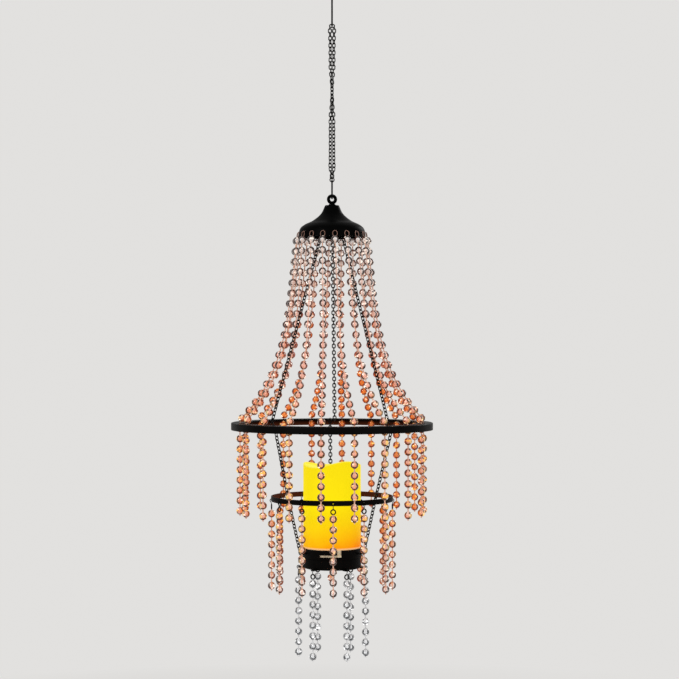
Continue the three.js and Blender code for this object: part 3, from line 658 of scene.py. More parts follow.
def warm_bead(name):
    bead = BeadFinish(name)
    inward = bead.inward()
    lit = bead.between(inward, -0.45, 0.42) * bead.between(bead.level, 0.95, 0.76, 0.2, 1.0)
    # painted candle light: pink on the outside, orange on the side that faces the candle
    tint = bead.mix(lit, bead.ramp(bead.level, OUTSIDE_LIT), bead.ramp(bead.level, CANDLE_SIDE_LIT))
    # the painted dark ring turns orange red on the side that faces the candle
    shade = bead.mix(lit, (0.014, 0.004, 0.002), (0.20, 0.018, 0.001))
    measure = bead.reach_squared ** 0.5 + (bead.tone - 0.5) * 0.26
    near_candle = bead.ramp(bead.between(bead.axis("Z"), -0.78, -0.50), NEAR_CANDLE)
    from_axis = {"Blend": 0.5, "Normal": bead.axis_direction()}
    beside = bead.node("ShaderNodeLayerWeight", {}, from_axis, "Facing")
    far_side = bead.between(inward, -0.76, -0.90) * near_candle
    # painted light: the candle's light gathered on the bead's far side, as a cream glow
    gathered = far_side * bead.between(beside, 0.03, 0.12) * 0.9
    colour = bead.mix(gathered, bead.ringed(measure, WARM_RING, tint, shade), (1.0, 0.76, 0.27))
    # the thread's painted line takes the candle's light too: pink outside, orange facing it
    thread_in_candle_light = bead.mix(lit, (1.0, 0.72, 0.62), (1.0, 0.38, 0.08))
    thread = bead.mix(bead.between(bead.level, 0.78, 0.96), thread_in_candle_light, (0.90, 0.82, 0.77))
    # gold glints: a painted reflection of the candle
    gold_glint = bead.between(bead.tone, 0.935, 0.95) * near_candle
    glint_colour = bead.mix(gold_glint, (1.0, 0.90, 0.80), (1.0, 0.55, 0.09))
    return bead.strung(colour, thread, glint_colour, 0.34)


bead_finish = warm_bead("clear_acrylic_bead")
print("warm bead finish:", bead_finish.name, len(bead_finish.node_tree.nodes), "nodes")

# %% [markdown]
# The lowest strands hang below the cup, out of the candle's light, and are quite clear. Their pale
# middle is more like an upright diamond, so the ring is measured by width and height apart.

# %% Clear beads below the cup
COOL_RING = [(0.0, 0.0), (0.34, 0.0), (0.44, 1.0), (0.62, 1.0), (0.74, 0.25), (0.90, 0.7)]


def cool_bead(name):
    bead = BeadFinish(name)
    tint = bead.ramp(bead.level, [(0.0, (0.86, 0.88, 0.90)), (1.0, (0.88, 0.86, 0.84))])
    measure = bead.sideways * 0.8 + abs(bead.rise) * 0.5 + (bead.tone - 0.5) * 0.22
    colour = bead.ringed(measure, COOL_RING, tint, (0.050, 0.052, 0.056))
    # painted glints are white here, and a share of the colour is a painted glow
    return bead.strung(colour, (0.92, 0.92, 0.92), WHITE, 0.30)


clear_finish = cool_bead("clear_acrylic_bead_below")
print("cool bead finish:", clear_finish.name)

# %% [markdown]
# The beads are strung on pale twisted thread, which shows between them and shines through them. A
# fine slanting wave in its bump stands for the twist. Above the cup its salmon tint is painted
# candle light; below the cup it is white. Where the thread lies on the black crown, the crown's
# shade is painted on it as a darker colour.

# %% Pale thread
def twisted_thread(name, dark, light):
    cotton = Finish(name, Roughness=0.55, Sheen_Weight=0.3)
    slanting, values = {"bands_direction": "DIAGONAL"}, {"Vector": cotton.place, "Scale": 420.0}
    twist = cotton.node("ShaderNodeTexWave", slanting, values, "Fac")
    # painted shade where the thread's loop lies on the crown
    on_crown = cotton.between(cotton.axis("Z"), -0.3215, -0.3195)
    pale = cotton.mix(cotton.noise(200.0), dark, light)
    return cotton.set(
        Base_Color=cotton.mix(on_crown, pale, (0.26, 0.125, 0.085)),
        Normal=cotton.bump(twist, 0.5, 0.0001),
    )


# the salmon of this thread is painted candle light; the white thread hangs below the cup
thread_finish = twisted_thread("pale_thread", (0.82, 0.42, 0.27), (0.94, 0.60, 0.45))
white_thread_finish = twisted_thread("white_thread", (0.74, 0.75, 0.77), (0.90, 0.91, 0.92))
print("threads:", thread_finish.name, white_thread_finish.name)

# %% [markdown]
# ## The beads
# Each bead is a small ball. Seven rings of ten corners are enough for it, and its shading is
# smooth, because the facets of these beads are finer than that and show as tones. With only 62
# faces a bead can be repeated hundreds of times.

# %% One bead
BEAD_RADIUS = 5.05
LATITUDES = (72, 48, 24, 0, -24, -48, -72)
BEAD_SIDES = 10


def bead_template():
    """Height is the sine and reach the cosine of the latitude, times the bead's radius."""
    latitude, turn = np.radians(LATITUDES)[:, None], np.radians(circle_of(BEAD_SIDES))[None, :]
    reach = np.cos(latitude)
    points = np.broadcast_arrays(reach * np.cos(turn), reach * np.sin(turn), np.sin(latitude))
    corner, last = np.arange(BEAD_SIDES), (len(LATITUDES) - 1) * BEAD_SIDES
    faces = [grid_faces(len(LATITUDES), BEAD_SIDES), np.stack([corner[::-1], last + corner])]
    return BEAD_RADIUS * np.stack(points, -1).reshape(-1, 3), faces


bead_shape = bead_template()
print("faces of a bead:", sum(map(len, bead_shape[1])))

# %% [markdown]
# A strand repeats the bead at many places, each turned along the thread, and a chain repeats its
# link in the same way. This is one product of arrays: every place has three directions, and the
# template's points are added up along them. Object instances would be lighter, but they would not
# export as one piece. Facet tones come from a seeded generator, so they are the same at every run.

# %% One shape at many places
def repeated(template, places, lengthwise, sideways):
    """Place + x * side + y * (forward cross side) + z * forward, for all points and places."""
    points, groups = template
    forward = unit(lengthwise)
    axes = np.stack([*square_to(forward, sideways), forward], axis=1)
    copies = places[:, None] + np.einsum("pk,nkd->npd", points, axes)
    offset = (np.arange(len(places)) * len(points))[:, None, None]
    faces = [(group + offset).reshape(-1, group.shape[1]) for group in groups]
    return copies.reshape(-1, 3), faces


chance = np.random.default_rng(11)
row = repeated(bead_shape, np.zeros((3, 3)), np.eye(3)[[2] * 3], np.eye(3)[[0] * 3])
print("a row of 3 beads has", sum(map(len, row[1])), "faces")

# %% [markdown]
# ## The long strands
# Eighteen strands start on the outside of the crown, hang almost straight at first and then swing
# out over the large ring, like a bell. They also lead slightly round the axis on the way. A
# straight share and a steep power give this curve, and the beads sit at equal steps of its length.
# Below the ring the strand hangs straight.

# %% The curve of a long strand
STRAND_AZIMUTHS = -6.3 + 20 * np.arange(18)
STRAND_LEAD = 8.7
BEAD_PITCH = 13.46
BELL_TOP_RADIUS, BELL_BOTTOM_RADIUS = 47.2, 118.0
BELL_TOP, BELL_BOTTOM = -323.38, -555.2


def bell(share, azimuth):
    """Radius grows by 0.32 of the share plus 0.68 of its 4.1th power, and the height falls and the
    azimuth leads evenly."""
    widening = 0.32 * share + 0.68 * share**4.1
    radius = BELL_TOP_RADIUS + (BELL_BOTTOM_RADIUS - BELL_TOP_RADIUS) * widening
    height = BELL_TOP + (BELL_BOTTOM - BELL_TOP) * share
    return polar(radius, azimuth - STRAND_LEAD * (1 - share), height)


def even_shares():
    """Shares at which the curve's length, summed over 600 short steps, reaches equal steps of half
    a bead pitch."""
    fine = np.linspace(0, 1, 601)
    stretches = np.linalg.norm(np.diff(bell(fine, 0.0), axis=0), axis=1)
    length = np.concatenate([[0], np.cumsum(stretches)])
    steps = int(round(length[-1] / BEAD_PITCH)) * 2
    return np.interp(np.linspace(0, length[-1], steps + 1), length, fine)


bell_shares = even_shares()
print("beads above the ring:", len(bell_shares[::2]))

# %% [markdown]
# Each strand is tied on with a loop of thread. The loop lies open on the outside of the crown, its
# upper end dips into the hole, and its lower end meets the first bead. It is an upright ring,
# longer than it is wide.

# %% The loop on the crown
def crown_loop(azimuth):
    """Across goes with the sine and height with the cosine of the turn. The reach grows by 1.2 mm
    towards the lower end, and the top leans in by a tenth power of the cosine."""
    t = np.radians(circle_of(24))
    reach = 45.3 + 1.2 * (1 - np.cos(t)) / 2 - 2.0 * np.clip(np.cos(t), 0, 1) ** 10
    path = polar(reach, azimuth, -315.7 + 3.9 * np.cos(t))
    path = path + 3.0 * np.sin(t)[:, None] * along(azimuth)
    return tube(path, polar(1.0, azimuth, 0.0), 0.42, 6, looped=True)


print("stations on a loop:", len(crown_loop(0.0)[0]))

# %% [markdown]
# Now the eighteen strands can be made in one loop. Every bead is spun on the thread by a share of a
# turn that never repeats, so that no two neighbours show the same face.

# %% The eighteen long strands
THREAD_RADIUS, THREAD_END = 0.8, 6.6
TAIL_BEADS = 9
GOLDEN_TURN = 360 * 0.3819


def long_strand(azimuth):
    """Beads at every other share and down the tail, the thread through them, and the loop."""
    line = bell(bell_shares, azimuth)
    tail_z = FLANGE_MIDDLE - BEAD_PITCH / 2 - BEAD_PITCH * np.arange(TAIL_BEADS)
    tail = polar(STRAND_HOLE, azimuth, tail_z)
    through = polar(STRAND_HOLE, azimuth, np.array([FLANGE_MIDDLE]))
    end = polar(STRAND_HOLE, azimuth, tail_z[-1:] - THREAD_END)
    route = np.concatenate([line, through, tail, end])
    downs = np.gradient(route, axis=0)
    bead_downs = np.concatenate([downs[: len(line)][::2], downs[len(line) + 1: -1]])
    turn = np.concatenate([azimuth - STRAND_LEAD * (1 - bell_shares[::2]),
                           np.full(TAIL_BEADS, azimuth)])
    spin = turn + GOLDEN_TURN * np.arange(len(turn))
    places = np.concatenate([line[::2], tail])
    beads = repeated(bead_shape, places, -bead_downs, along(spin) + 0.001)
    thread = tube(route, along(azimuth), THREAD_RADIUS, 6)
    return beads, together([thread, crown_loop(azimuth - STRAND_LEAD)])


for number, azimuth in enumerate(STRAND_AZIMUTHS):
    name = f"long_strand_{number + 1:02d}"
    piece(f"beads_{name}", long_strand(azimuth), [bead_finish, thread_finish], "lamp", [name],
          sharp=75, facets=chance.random)
print("faces in one long strand:", made_faces["beads_long_strand_01"])

# %% [markdown]
# ## The short strands
# Twelve short strands hang from the small ring and six from the cup. Each has a black wire hook
# round the edge of its hole, a small black jump ring, and a thread with eight beads. The hook and
# ring swing with the strand, so all of it is one piece on the strand's own body.

# %% The eighteen short strands
SHORT_WIRE, SHORT_BEADS = 0.6, 8
JUMP_DROP, JUMP_RADIUS, JUMP_HALF = 8.2, 3.0, 0.9
FIRST_BEAD_DROP = 17.3


def short_strand(radius, height, azimuth):
    """Hook, jump ring, thread and beads, all below a pivot at this radius and height."""
    hook = arc(radius, height, HOOK_BEND, 232, -52, 14)
    shank = np.array([radius, height]) + np.array([[1.2, -1.6], [0.4, -3.2], [0.0, -5.2]])
    centre = polar(radius, azimuth, height - JUMP_DROP)
    black = [wire(hook, azimuth, SHORT_WIRE, 6), wire(shank, azimuth, SHORT_WIRE, 6),
             ring(centre, azimuth + 90, JUMP_RADIUS, JUMP_HALF, 20, 6)]
    bead_z = height - FIRST_BEAD_DROP - BEAD_PITCH * np.arange(SHORT_BEADS)
    knot_z = [height - 10.6, height - 12.5]
    route_z = np.concatenate([knot_z, bead_z, bead_z[-1:] - THREAD_END])
    thread = tube(polar(radius, azimuth, route_z), along(azimuth), THREAD_RADIUS, 6)
    spin = azimuth + GOLDEN_TURN * np.arange(SHORT_BEADS)
    up = np.tile([0.0, 0.0, 1.0], (SHORT_BEADS, 1))
    beads = repeated(bead_shape, polar(radius, azimuth, bead_z), up, along(spin))
    return beads, thread, together(black)


def hang_short_strands(kind, count, phase, radius, height, finish, thread):
    for number in range(count):
        name = f"{kind}_strand_{number + 1:02d}"
        shapes = short_strand(radius, height, phase + 360 / count * number)
        piece(f"beads_{name}", shapes, [finish, thread, wire_finish], name, [name],
              sharp=75, facets=chance.random)


RING_PHASE, CUP_PHASE = 1.3, -34.0
hang_short_strands("ring", 12, RING_PHASE, 79.25, SMALL_PIVOT, bead_finish, thread_finish)
hang_short_strands("cup", 6, CUP_PHASE, 44.0, -750.73, clear_finish, white_thread_finish)
print("faces in one short strand:", made_faces["beads_ring_strand_01"])

# %% [markdown]
# ## The chains
# All chains are made of the same small link, nearly round, and each link stands square to the
# next. One link is a closed tube round an oval, and a chain repeats it like the beads.

# %% One link
LINK_PITCH, LINK_WIDTH, LINK_WIRE = 4.74, 5.6, 1.5


def link_template():
    """A stadium path, half circles joined by short straights, with a four-sided wire round it."""
    t = np.radians(circle_of(12) + 15)
    half_width = (LINK_WIDTH - LINK_WIRE) / 2
    stretch = (LINK_PITCH + 2 * LINK_WIRE - LINK_WIDTH) / 2
    length = half_width * np.sin(t) + stretch * np.sign(np.sin(t))
    path = np.stack([half_width * np.cos(t), 0 * t, length], -1)
    points, faces = tube(path, np.array([0.0, 1.0, 0.0]), LINK_WIRE / 2, 4, looped=True)
    return points.reshape(-1, 3), faces


link_shape = link_template()
print("faces of a link:", len(link_shape[1][0]))

# %% [markdown]
# The hanging chain is doubled: it passes through the eye of the hanger hook, and both runs come
# down to the join link. The runs turn round each other on the way, most of it in the middle. Two
# links lie level, one in the eye and one in the join link.

# %% The doubled hanging chain
EYE_BOTTOM, JOIN_TOP = -41.2, -240.28
RUN_LINKS, RUN_INSET = 42, 1.9
QUARTER_TURNS = np.array([[0, 0], [0.24, 0.2], [0.33, 0.74], [0.43, 1], [0.54, 1.26], [0.64, 1.85],
                          [0.93, 2.1], [1, 3]])


def hanging_chain():
    """Height falls evenly, and the azimuth follows the table of quarter turns over the share of the
    drop. The runs stand 2.2 mm from the axis, and 3.0 mm at the ends."""
    share = np.linspace(0, 1, RUN_LINKS)
    drop = JOIN_TOP - EYE_BOTTOM + 2 * RUN_INSET
    turn = 90 * np.interp(share, *QUARTER_TURNS.T)
    from_axis = 2.2 + 0.8 * (np.exp(-share * 16) + np.exp(-(1 - share) * 16))
    lean = 45 * (np.exp(-share * 12) - np.exp(-(1 - share) * 12))
    wide = along(turn + 45 + lean + 90 * np.arange(RUN_LINKS))
    shapes = []
    for sign in (1, -1):
        places = along(turn) * (sign * from_axis)[:, None]
        places[:, 2] = EYE_BOTTOM - RUN_INSET + share * drop
        shapes.append(repeated(link_shape, places, np.gradient(places, axis=0), wide))
    x, y, z = np.eye(3)
    ends = np.array([EYE_BOTTOM * z, JOIN_TOP * z])
    return together([*shapes, repeated(link_shape, ends, np.array([x, y]), np.array([z, z]))])


piece("links_hanging_chain", [hanging_chain()], [wire_finish], "chain", ["hanging_chain"])
print("faces in the hanging chain:", made_faces["links_hanging_chain"])

# %% [markdown]
# Three chains run from the plate inside the crown to the large ring, and three more from the large
# ring past the small ring to the cup. At each end a small wire hook grips the hole. The hooks keep
# the same place as in the solids, and a lower chain turns at the tab of the small ring.

# %% Six chains of the rings and the cup
HOOK_WIRE = 0.55
PLATE_PIVOT, PLATE_MIDDLE = 8.6, -289.03
FLANGE_PIVOT, TAB_HOLE = 113.7, 74.3
EAR_PIVOT, EAR_MIDDLE = 44.5, -730.93
CHAIN_RUNS = {"left": (-42, -48, -62), "right": (42, 48, 62), "back": (180, 181.6, 181.6)}
CHAIN_STEP = 1.6  # upper and lower chains grip the large ring this far to both sides, in degrees


def links_between(start, end, side):
    """Links at even steps from start to end, turned a quarter from one to the next."""
    count = max(int(round(np.linalg.norm(end - start) / LINK_PITCH)), 1)
    share = ((np.arange(count) + 0.5) / count)[:, None]
    down = np.broadcast_to(end - start, (count, 3))
    even = (np.arange(count) % 2 == 0)[:, None]
    wide = np.where(even, side, np.cross(unit(down), side))
    return repeated(link_shape, start + share * (end - start), down, wide)


def hooked_chain(top, top_azimuth, bottom, bottom_azimuth, side_azimuth, between=()):
    """A hook, links by way of the places between, and a hook. top and bottom are the angles that
    each hook's arc runs through, after the radius and height of its middle."""
    top, bottom = (arc(*hook[:2], HOOK_BEND, *hook[2:], 12) for hook in (top, bottom))
    stops = [polar(top[-1, 0], top_azimuth, top[-1, 1]), *between,
             polar(bottom[0, 0], bottom_azimuth, bottom[0, 1])]
    runs = [links_between(start, end, along(side_azimuth)) for start, end in zip(stops, stops[1:])]
    return together([wire(top, top_azimuth, HOOK_WIRE), *runs,
                     wire(bottom, bottom_azimuth, HOOK_WIRE)])


def upper_chain(azimuth):
    return hooked_chain((PLATE_PIVOT, PLATE_MIDDLE, 230, 0), azimuth,
                        (FLANGE_PIVOT, FLANGE_MIDDLE, -180, 50), azimuth, azimuth)


def lower_chain(azimuth, tab, cup):
    return hooked_chain((FLANGE_PIVOT, FLANGE_MIDDLE, -50, 180), azimuth,
                        (EAR_PIVOT, EAR_MIDDLE, 0, -230), cup, tab,
                        [polar(TAB_HOLE, tab, TAB_MIDDLE)])


for name, (at_ring, at_tab, at_cup) in CHAIN_RUNS.items():
    upper = upper_chain(at_ring - CHAIN_STEP)
    lower = lower_chain(at_ring + CHAIN_STEP, at_tab, at_cup)
    for level, shape in (("upper", upper), ("lower", lower)):
        piece(f"links_{level}_chain_{name}", [shape], [wire_finish], "lamp",
              [f"{level}_chain_{name}"])
print("faces in an upper chain:", made_faces["links_upper_chain_left"])

# %% [markdown]
# ## Hooks above the crown
# The hanger hook is one bent wire with an eye at its lower end. The eye is the same wire going
# round once, so its path is a smooth curve from the shank into the circle. The S-hook below is bent
# from thinner wire. Both lie in the plane that runs from front to back.

# %% Hanger hook, join link and S-hook
def front_to_back_wire(pairs, radius):
    """A tube through [y, z] pairs, its ends rounded off over two stations."""
    path = np.stack([0 * pairs[:, 0], *pairs.T], -1)
    reach = narrowed(len(path), radius, 0.6, 0.93)
    return tube(path, np.array([1.0, 0.0, 0.0]), reach, 12)


hanger_eye = arc(0, -37.8, 3.4, 68, -248, 28)
hanger_shank = smooth([[-1.15, -34.2], [-0.4, -32.2], [0, -30.0], [0, -26.0], [-0.6, -21.5],
                       [-3.6, -12.9], [-6.6, -10.6], [-8.0, -7.01]], 5)
hanger_bend = arc(0, -7.01, 8.0, 180, 0, 24)
hanger_tip = [[8.0, -8.2], [8.0, -9.6], [8.0, -10.8]]
hanger_path = np.concatenate([hanger_eye, hanger_shank[1:], hanger_bend[1:], hanger_tip])
s_path = np.concatenate([arc(0, -245.98, 2.1, 250, 0, 20), arc(0, -263.88, 3.6, 180, 400, 24)])
join_link = ring(np.array([0, 0, -242.98]), 90, 2.7, 0.75, 30, 10)

piece("bent_hanger_hook", [front_to_back_wire(hanger_path, 1.15)], [paint_finish], "hanger",
      ["hanger_hook"])
piece("round_join_link", [join_link], [wire_finish], "link", ["join_link"])
piece("bent_s_hook", [front_to_back_wire(s_path, 1.1)], [paint_finish], "hook", ["s_hook"])
print("stations on the hanger hook:", len(hanger_path))

# %% [markdown]
# ## The crown
# An eye bolt stands on the crown: a thick ring on a turned collar, with its shank going down
# through the bell. The ring is a torus and the collar an outline turned round the axis.

# %% The eye bolt
collar = np.array([[0, -289.78], [1.8, -289.78], [2.0, -289.5], [2.0, -276.18], [4.3, -276.18],
                   [4.6, -275.95], [4.6, -275.5], [4.3, -275.2], [2.9, -274.3], [2.3, -273.28],
                   [0, -273.28]])
eye_bolt = together([
    ring(np.array([0, 0, -268.68]), 90, 4.6, 2.2, 48, 18),
    turned(collar[:, 0], collar[:, 1:], circle_of(36)),
])
piece("turned_crown_eye", [eye_bolt], [crown_finish], "lamp", ["crown_eye"])
print("faces of the eye bolt:", made_faces["turned_crown_eye"])

# %% [markdown]
# The bell of the crown is spun from sheet. Its outline widens slowly from the top, flares out and
# then drops almost straight to the rim. The outline is a smooth curve through six points, and the
# inner face lies one wall inside along the normal. The top is a flat disc round the bolt.

# %% The outline of the crown
BOLT_HOLE, HOLE_RADIUS = 2.3, 1.3


def inset(outline, wall):
    """Each point moved by the wall along the normal, the line's direction turned a quarter."""
    direction = unit(np.gradient(outline, axis=0))
    return outline + wall * np.stack([direction[:, 1], -direction[:, 0]], -1)


crown_curve = smooth([[9.2, -276.9], [14.8, -287.87], [25.35, -296.7], [35.9, -301.8],
                      [42.2, -307.7], [44.3, -318.2]], 10)
hole_z = CROWN_HOLE + HOLE_RADIUS * np.array([1, 0, -1])
hole_rows = np.stack([np.interp(-hole_z, -crown_curve[:, 1], crown_curve[:, 0]), hole_z], -1)
clear_of_holes = np.abs(crown_curve[:, 1] - CROWN_HOLE) > 2
crown_curve = np.concatenate([crown_curve[clear_of_holes], hole_rows])
crown_curve = crown_curve[np.argsort(-crown_curve[:, 1])]
crown_disc = [[BOLT_HOLE, CROWN_TOP], [5.5, CROWN_TOP], [8.4, CROWN_TOP], [8.95, CROWN_TOP - 0.1]]
crown_outer = np.concatenate([crown_disc, crown_curve, [[44.2, CROWN_RIM]]])
crown_inner = inset(crown_outer, WALL)
crown_inner[:, 0] = np.maximum(crown_inner[:, 0], BOLT_HOLE)
crown_inner[:len(crown_disc), 1] = CROWN_TOP - WALL
crown_inner[-1] = [42.8, CROWN_RIM]
print("rows of the crown:", len(crown_outer))

# %% [markdown]
# Eighteen holes go round above the rim, one for each long strand. The strands lead round the axis
# on their way down, so their holes stand that much behind them.

# %% The bell of the crown
crown_azimuths = STRAND_AZIMUTHS - STRAND_LEAD
crown_fill = crown_azimuths.min() + 2.5 * np.arange(144) + 1.25
crown_columns = with_holes(crown_azimuths, math.degrees(HOLE_RADIUS / 43.0), crown_fill)
crown_row = nearest(-crown_outer[:, 1], -CROWN_HOLE)[0]
crown_holes = (np.full(18, crown_row), nearest(crown_columns, crown_azimuths))
crown_sheet = round_sheet(crown_outer, crown_inner, crown_columns, crown_holes)
piece("spun_crown", [crown_sheet], [crown_finish], "lamp", ["crown_cap"])
print("faces of the crown:", made_faces["spun_crown"])

# %% [markdown]
# ## The rings
# The large ring is a band with a flange that reaches inwards at its top. The strands pass through
# a hole each in the flange, and the chains grip smaller holes near its inner edge. Outer and inner
# face follow the same L outline, with a small radius at the bend. The band stays a hair inside the
# solid's own, so that dressing the lamp doesn't make it larger.

# %% The large ring
FLANGE_HOLES, BAND_OUTSIDE, BAND_INSIDE = 115.7, 132.27, 131.0
band_z = [-3.5, -6.5, -8.9]
flange = [113.0, FLANGE_HOLES - HOLE_RADIUS, FLANGE_HOLES, FLANGE_HOLES + HOLE_RADIUS, 118.5,
          STRAND_HOLE, 122.5, 126.0, 129.5, 131.4]
ring_outer = np.array([*([radius, 0] for radius in flange), [BAND_OUTSIDE - 0.3, -0.3],
                       [BAND_OUTSIDE, -1.0], *([BAND_OUTSIDE, z] for z in band_z),
                       [BAND_OUTSIDE - 0.2, -9.3]])
ring_inner = ring_outer + [0, -WALL]
ring_inner[9:] = [[130.2, -1.5], [130.7, -1.7], [BAND_INSIDE, -2.2],
                  *([BAND_INSIDE, z] for z in band_z), [BAND_INSIDE + 0.2, -9.3]]
to_height = np.array([0, RING_TOP])

chain_azimuths = [run[0] + side * CHAIN_STEP for run in CHAIN_RUNS.values() for side in (-1, 1)]
marks = np.concatenate([np.sort(STRAND_AZIMUTHS % 360), np.sort(np.array(chain_azimuths) % 360)])
half_widths = np.repeat(np.degrees([2.0 / STRAND_HOLE, HOLE_RADIUS / FLANGE_HOLES]), [18, 6])
ring_columns = with_holes(marks, half_widths, np.arange(0.0, 360, 2.5))
strand_row, chain_row = flange.index(STRAND_HOLE), flange.index(FLANGE_HOLES)
ring_holes = (np.repeat([strand_row, chain_row], [18, 6]), nearest(ring_columns, marks))
ring_sheet = round_sheet(ring_outer + to_height, ring_inner + to_height, ring_columns, ring_holes)
piece("rolled_large_ring", [ring_sheet], [paint_finish], "lamp", ["large_ring"],
      sharp=40)
print("faces of the large ring:", made_faces["rolled_large_ring"])

# %% [markdown]
# The small ring is a plain upright band with twelve small holes near its lower edge, and three
# tabs on its inside that the chains pass. A tab is a small sheet of its own, bent round the axis,
# with its hole. The cup has such tabs too.

# %% A tab with a hole
def tab_sheet(inner_radius, outer_radius, middle, azimuth, half_width, top, hole):
    """A flat tab between two radii. Rows within 0.6 mm of its ends are narrowed to 0.82 of their
    width, which rounds the corners."""
    radii = with_holes(middle, hole, np.linspace(inner_radius, outer_radius, 7))
    across = with_holes(0.0, hole, np.linspace(-half_width, half_width, 7))
    from_end = np.minimum(np.abs(radii - inner_radius), np.abs(radii - outer_radius))
    narrow = np.where(from_end < 0.6, 0.82, 1.0)[:, None]
    turn = azimuth + np.degrees(across[None, :] * narrow / radii[:, None])
    upper, lower = (polar(radii[:, None], turn, height) for height in (top, top - WALL))
    return sheet(upper, lower, (nearest(radii, middle), nearest(across, 0.0)), looped=False)


small_tabs = [tab_sheet(70.1, 78.9, TAB_HOLE, run[1], 4.5, TAB_MIDDLE + WALL / 2, 1.9)
              for run in CHAIN_RUNS.values()]
print("points of a tab:", len(small_tabs[0][0]))

# %% [markdown]
# The band's own two edges are eased by a third of a millimetre, as a file leaves them.

# %% The small ring
PIN_HOLE = 0.95
pin_z = SMALL_PIVOT + 2.0
small_z = np.array([SMALL_TOP - 0.02, SMALL_TOP - 0.27, SMALL_TOP - 1.0,
                    pin_z + PIN_HOLE, pin_z, pin_z - PIN_HOLE,
                    SMALL_BOTTOM + 1.1, SMALL_BOTTOM + 0.28, SMALL_BOTTOM + 0.03])
eased = np.array([0.35, 0.08, 0, 0, 0, 0, 0, 0.08, 0.35])
small_outer, small_inner = (np.stack([radius, small_z], -1)
                            for radius in (80.0 - eased, 78.5 + eased))
small_azimuths = RING_PHASE + 30 * np.arange(12)
small_columns = with_holes(small_azimuths, math.degrees(PIN_HOLE / 80.0), np.arange(0.0, 360, 3.0))
small_holes = (np.full(12, 4), nearest(small_columns, small_azimuths))
small_band = round_sheet(small_outer, small_inner, small_columns, small_holes)
piece("rolled_small_ring", [together([small_band, *small_tabs])], [paint_finish], "lamp",
      ["small_ring"], sharp=40)
print("faces of the small ring:", made_faces["rolled_small_ring"])

# %% [markdown]
# ## The candle cup
# The cup is pressed sheet with a rounded foot and a dark seam line half way up, where it steps out
# a little. Three L-shaped slots in its rim let the candle's pegs in and lock them with a turn. A
# slot is a mouth down from the rim and a slit that goes on from it to one side.

# %% Walls and slots of the cup
seam, slit_bottom, slit_top = CUP_TOP - 12.6, CUP_TOP - 9.0, CUP_TOP - 6.2
CUP_RADIUS, CUP_INSIDE = 38.6, 37.4
floor_rows = [[radius, CUP_BOTTOM] for radius in (12.0, 20.0, 29.0)]
wall_rows = [[38.2, -744.0], [38.2, seam - 0.5], [37.95, seam - 0.3], [37.95, seam - 0.05],
             *([CUP_RADIUS, z] for z in (seam + 0.15, slit_bottom, slit_top, CUP_TOP - 3.0,
                                         CUP_TOP - 0.3)), [CUP_RADIUS - 0.25, CUP_TOP]]
cup_foot = arc(35.2, CUP_BOTTOM + 3.0, 3.0, -90, 0, 6)
cup_outer = np.concatenate([floor_rows, cup_foot, wall_rows])
cup_inner = cup_outer.copy()
cup_inner[:, 0] = np.minimum(cup_inner[:, 0], CUP_INSIDE)
cup_inner[:, 1] = np.maximum(cup_inner[:, 1], CUP_BOTTOM + WALL)
cup_inner[8] = [CUP_INSIDE, CUP_BOTTOM + 3.4]
cup_inner[-1] = [CUP_INSIDE + 0.2, CUP_TOP]

MOUTH_START, MOUTH_END, SLIT_START = 10, 18.8, -24.8
slot_turns = np.array([0, 120, 240])
slot_lines = (np.array([[MOUTH_START, MOUTH_END, SLIT_START]]) + slot_turns[:, None]).ravel()
cup_fill = np.arange(0.0, 360, 4.0)
from_slot = np.abs((cup_fill[:, None] - slot_lines[None, :] + 180) % 360 - 180).min(1)
cup_columns = np.sort(np.concatenate([cup_fill[from_slot >= 1.5], slot_lines % 360]))
cell_middle = cup_columns + np.diff(np.append(cup_columns, cup_columns[0] + 360)) / 2
turn = (cell_middle[:, None] - slot_turns[None, :] + 180) % 360 - 180
in_mouth = ((turn > MOUTH_START) & (turn < MOUTH_END)).any(1)
in_slit = ((turn > SLIT_START) & (turn < MOUTH_END)).any(1)
row_z = (cup_outer[1:, 1] + cup_outer[:-1, 1])[:, None] / 2
slots = (in_mouth & (row_z > slit_bottom)) | (in_slit & (row_z > slit_bottom) & (row_z < slit_top))
print("cells left out for the slots:", slots.sum())

# %% [markdown]
# Three ears on the cup's wall carry it on the chains, and six lugs at its foot carry the lowest
# strands.

# %% The cup with its ears and lugs
cup_sheet = round_sheet(cup_outer, cup_inner, cup_columns, cut=slots)
ears = [tab_sheet(38.0, 45.2, 42.5, run[2], 3.5, EAR_MIDDLE + WALL / 2, 1.3)
        for run in CHAIN_RUNS.values()]
lugs = [tab_sheet(36.0, 44.7, 42.0, CUP_PHASE + 60 * k, 3.5, CUP_BOTTOM + WALL, 1.3)
        for k in range(6)]
piece("pressed_candle_cup", [together([cup_sheet, *ears, *lugs])], [paint_finish], "lamp",
      ["candle_cup"], sharp=40)
print("faces of the cup:", made_faces["pressed_candle_cup"])

# %% [markdown]
# ## The candle
# The pillar is real wax round an electric light, and the whole wall glows. It is yellow over its
# upper half and deeper, almost orange, towards the foot, a little brighter on the left, with soft
# clouds in the wax. Emission carries the glow, and the base colour follows it so that the wax looks
# right with the light off. The foot has a paler rounded edge, and faces that look up are paler too.

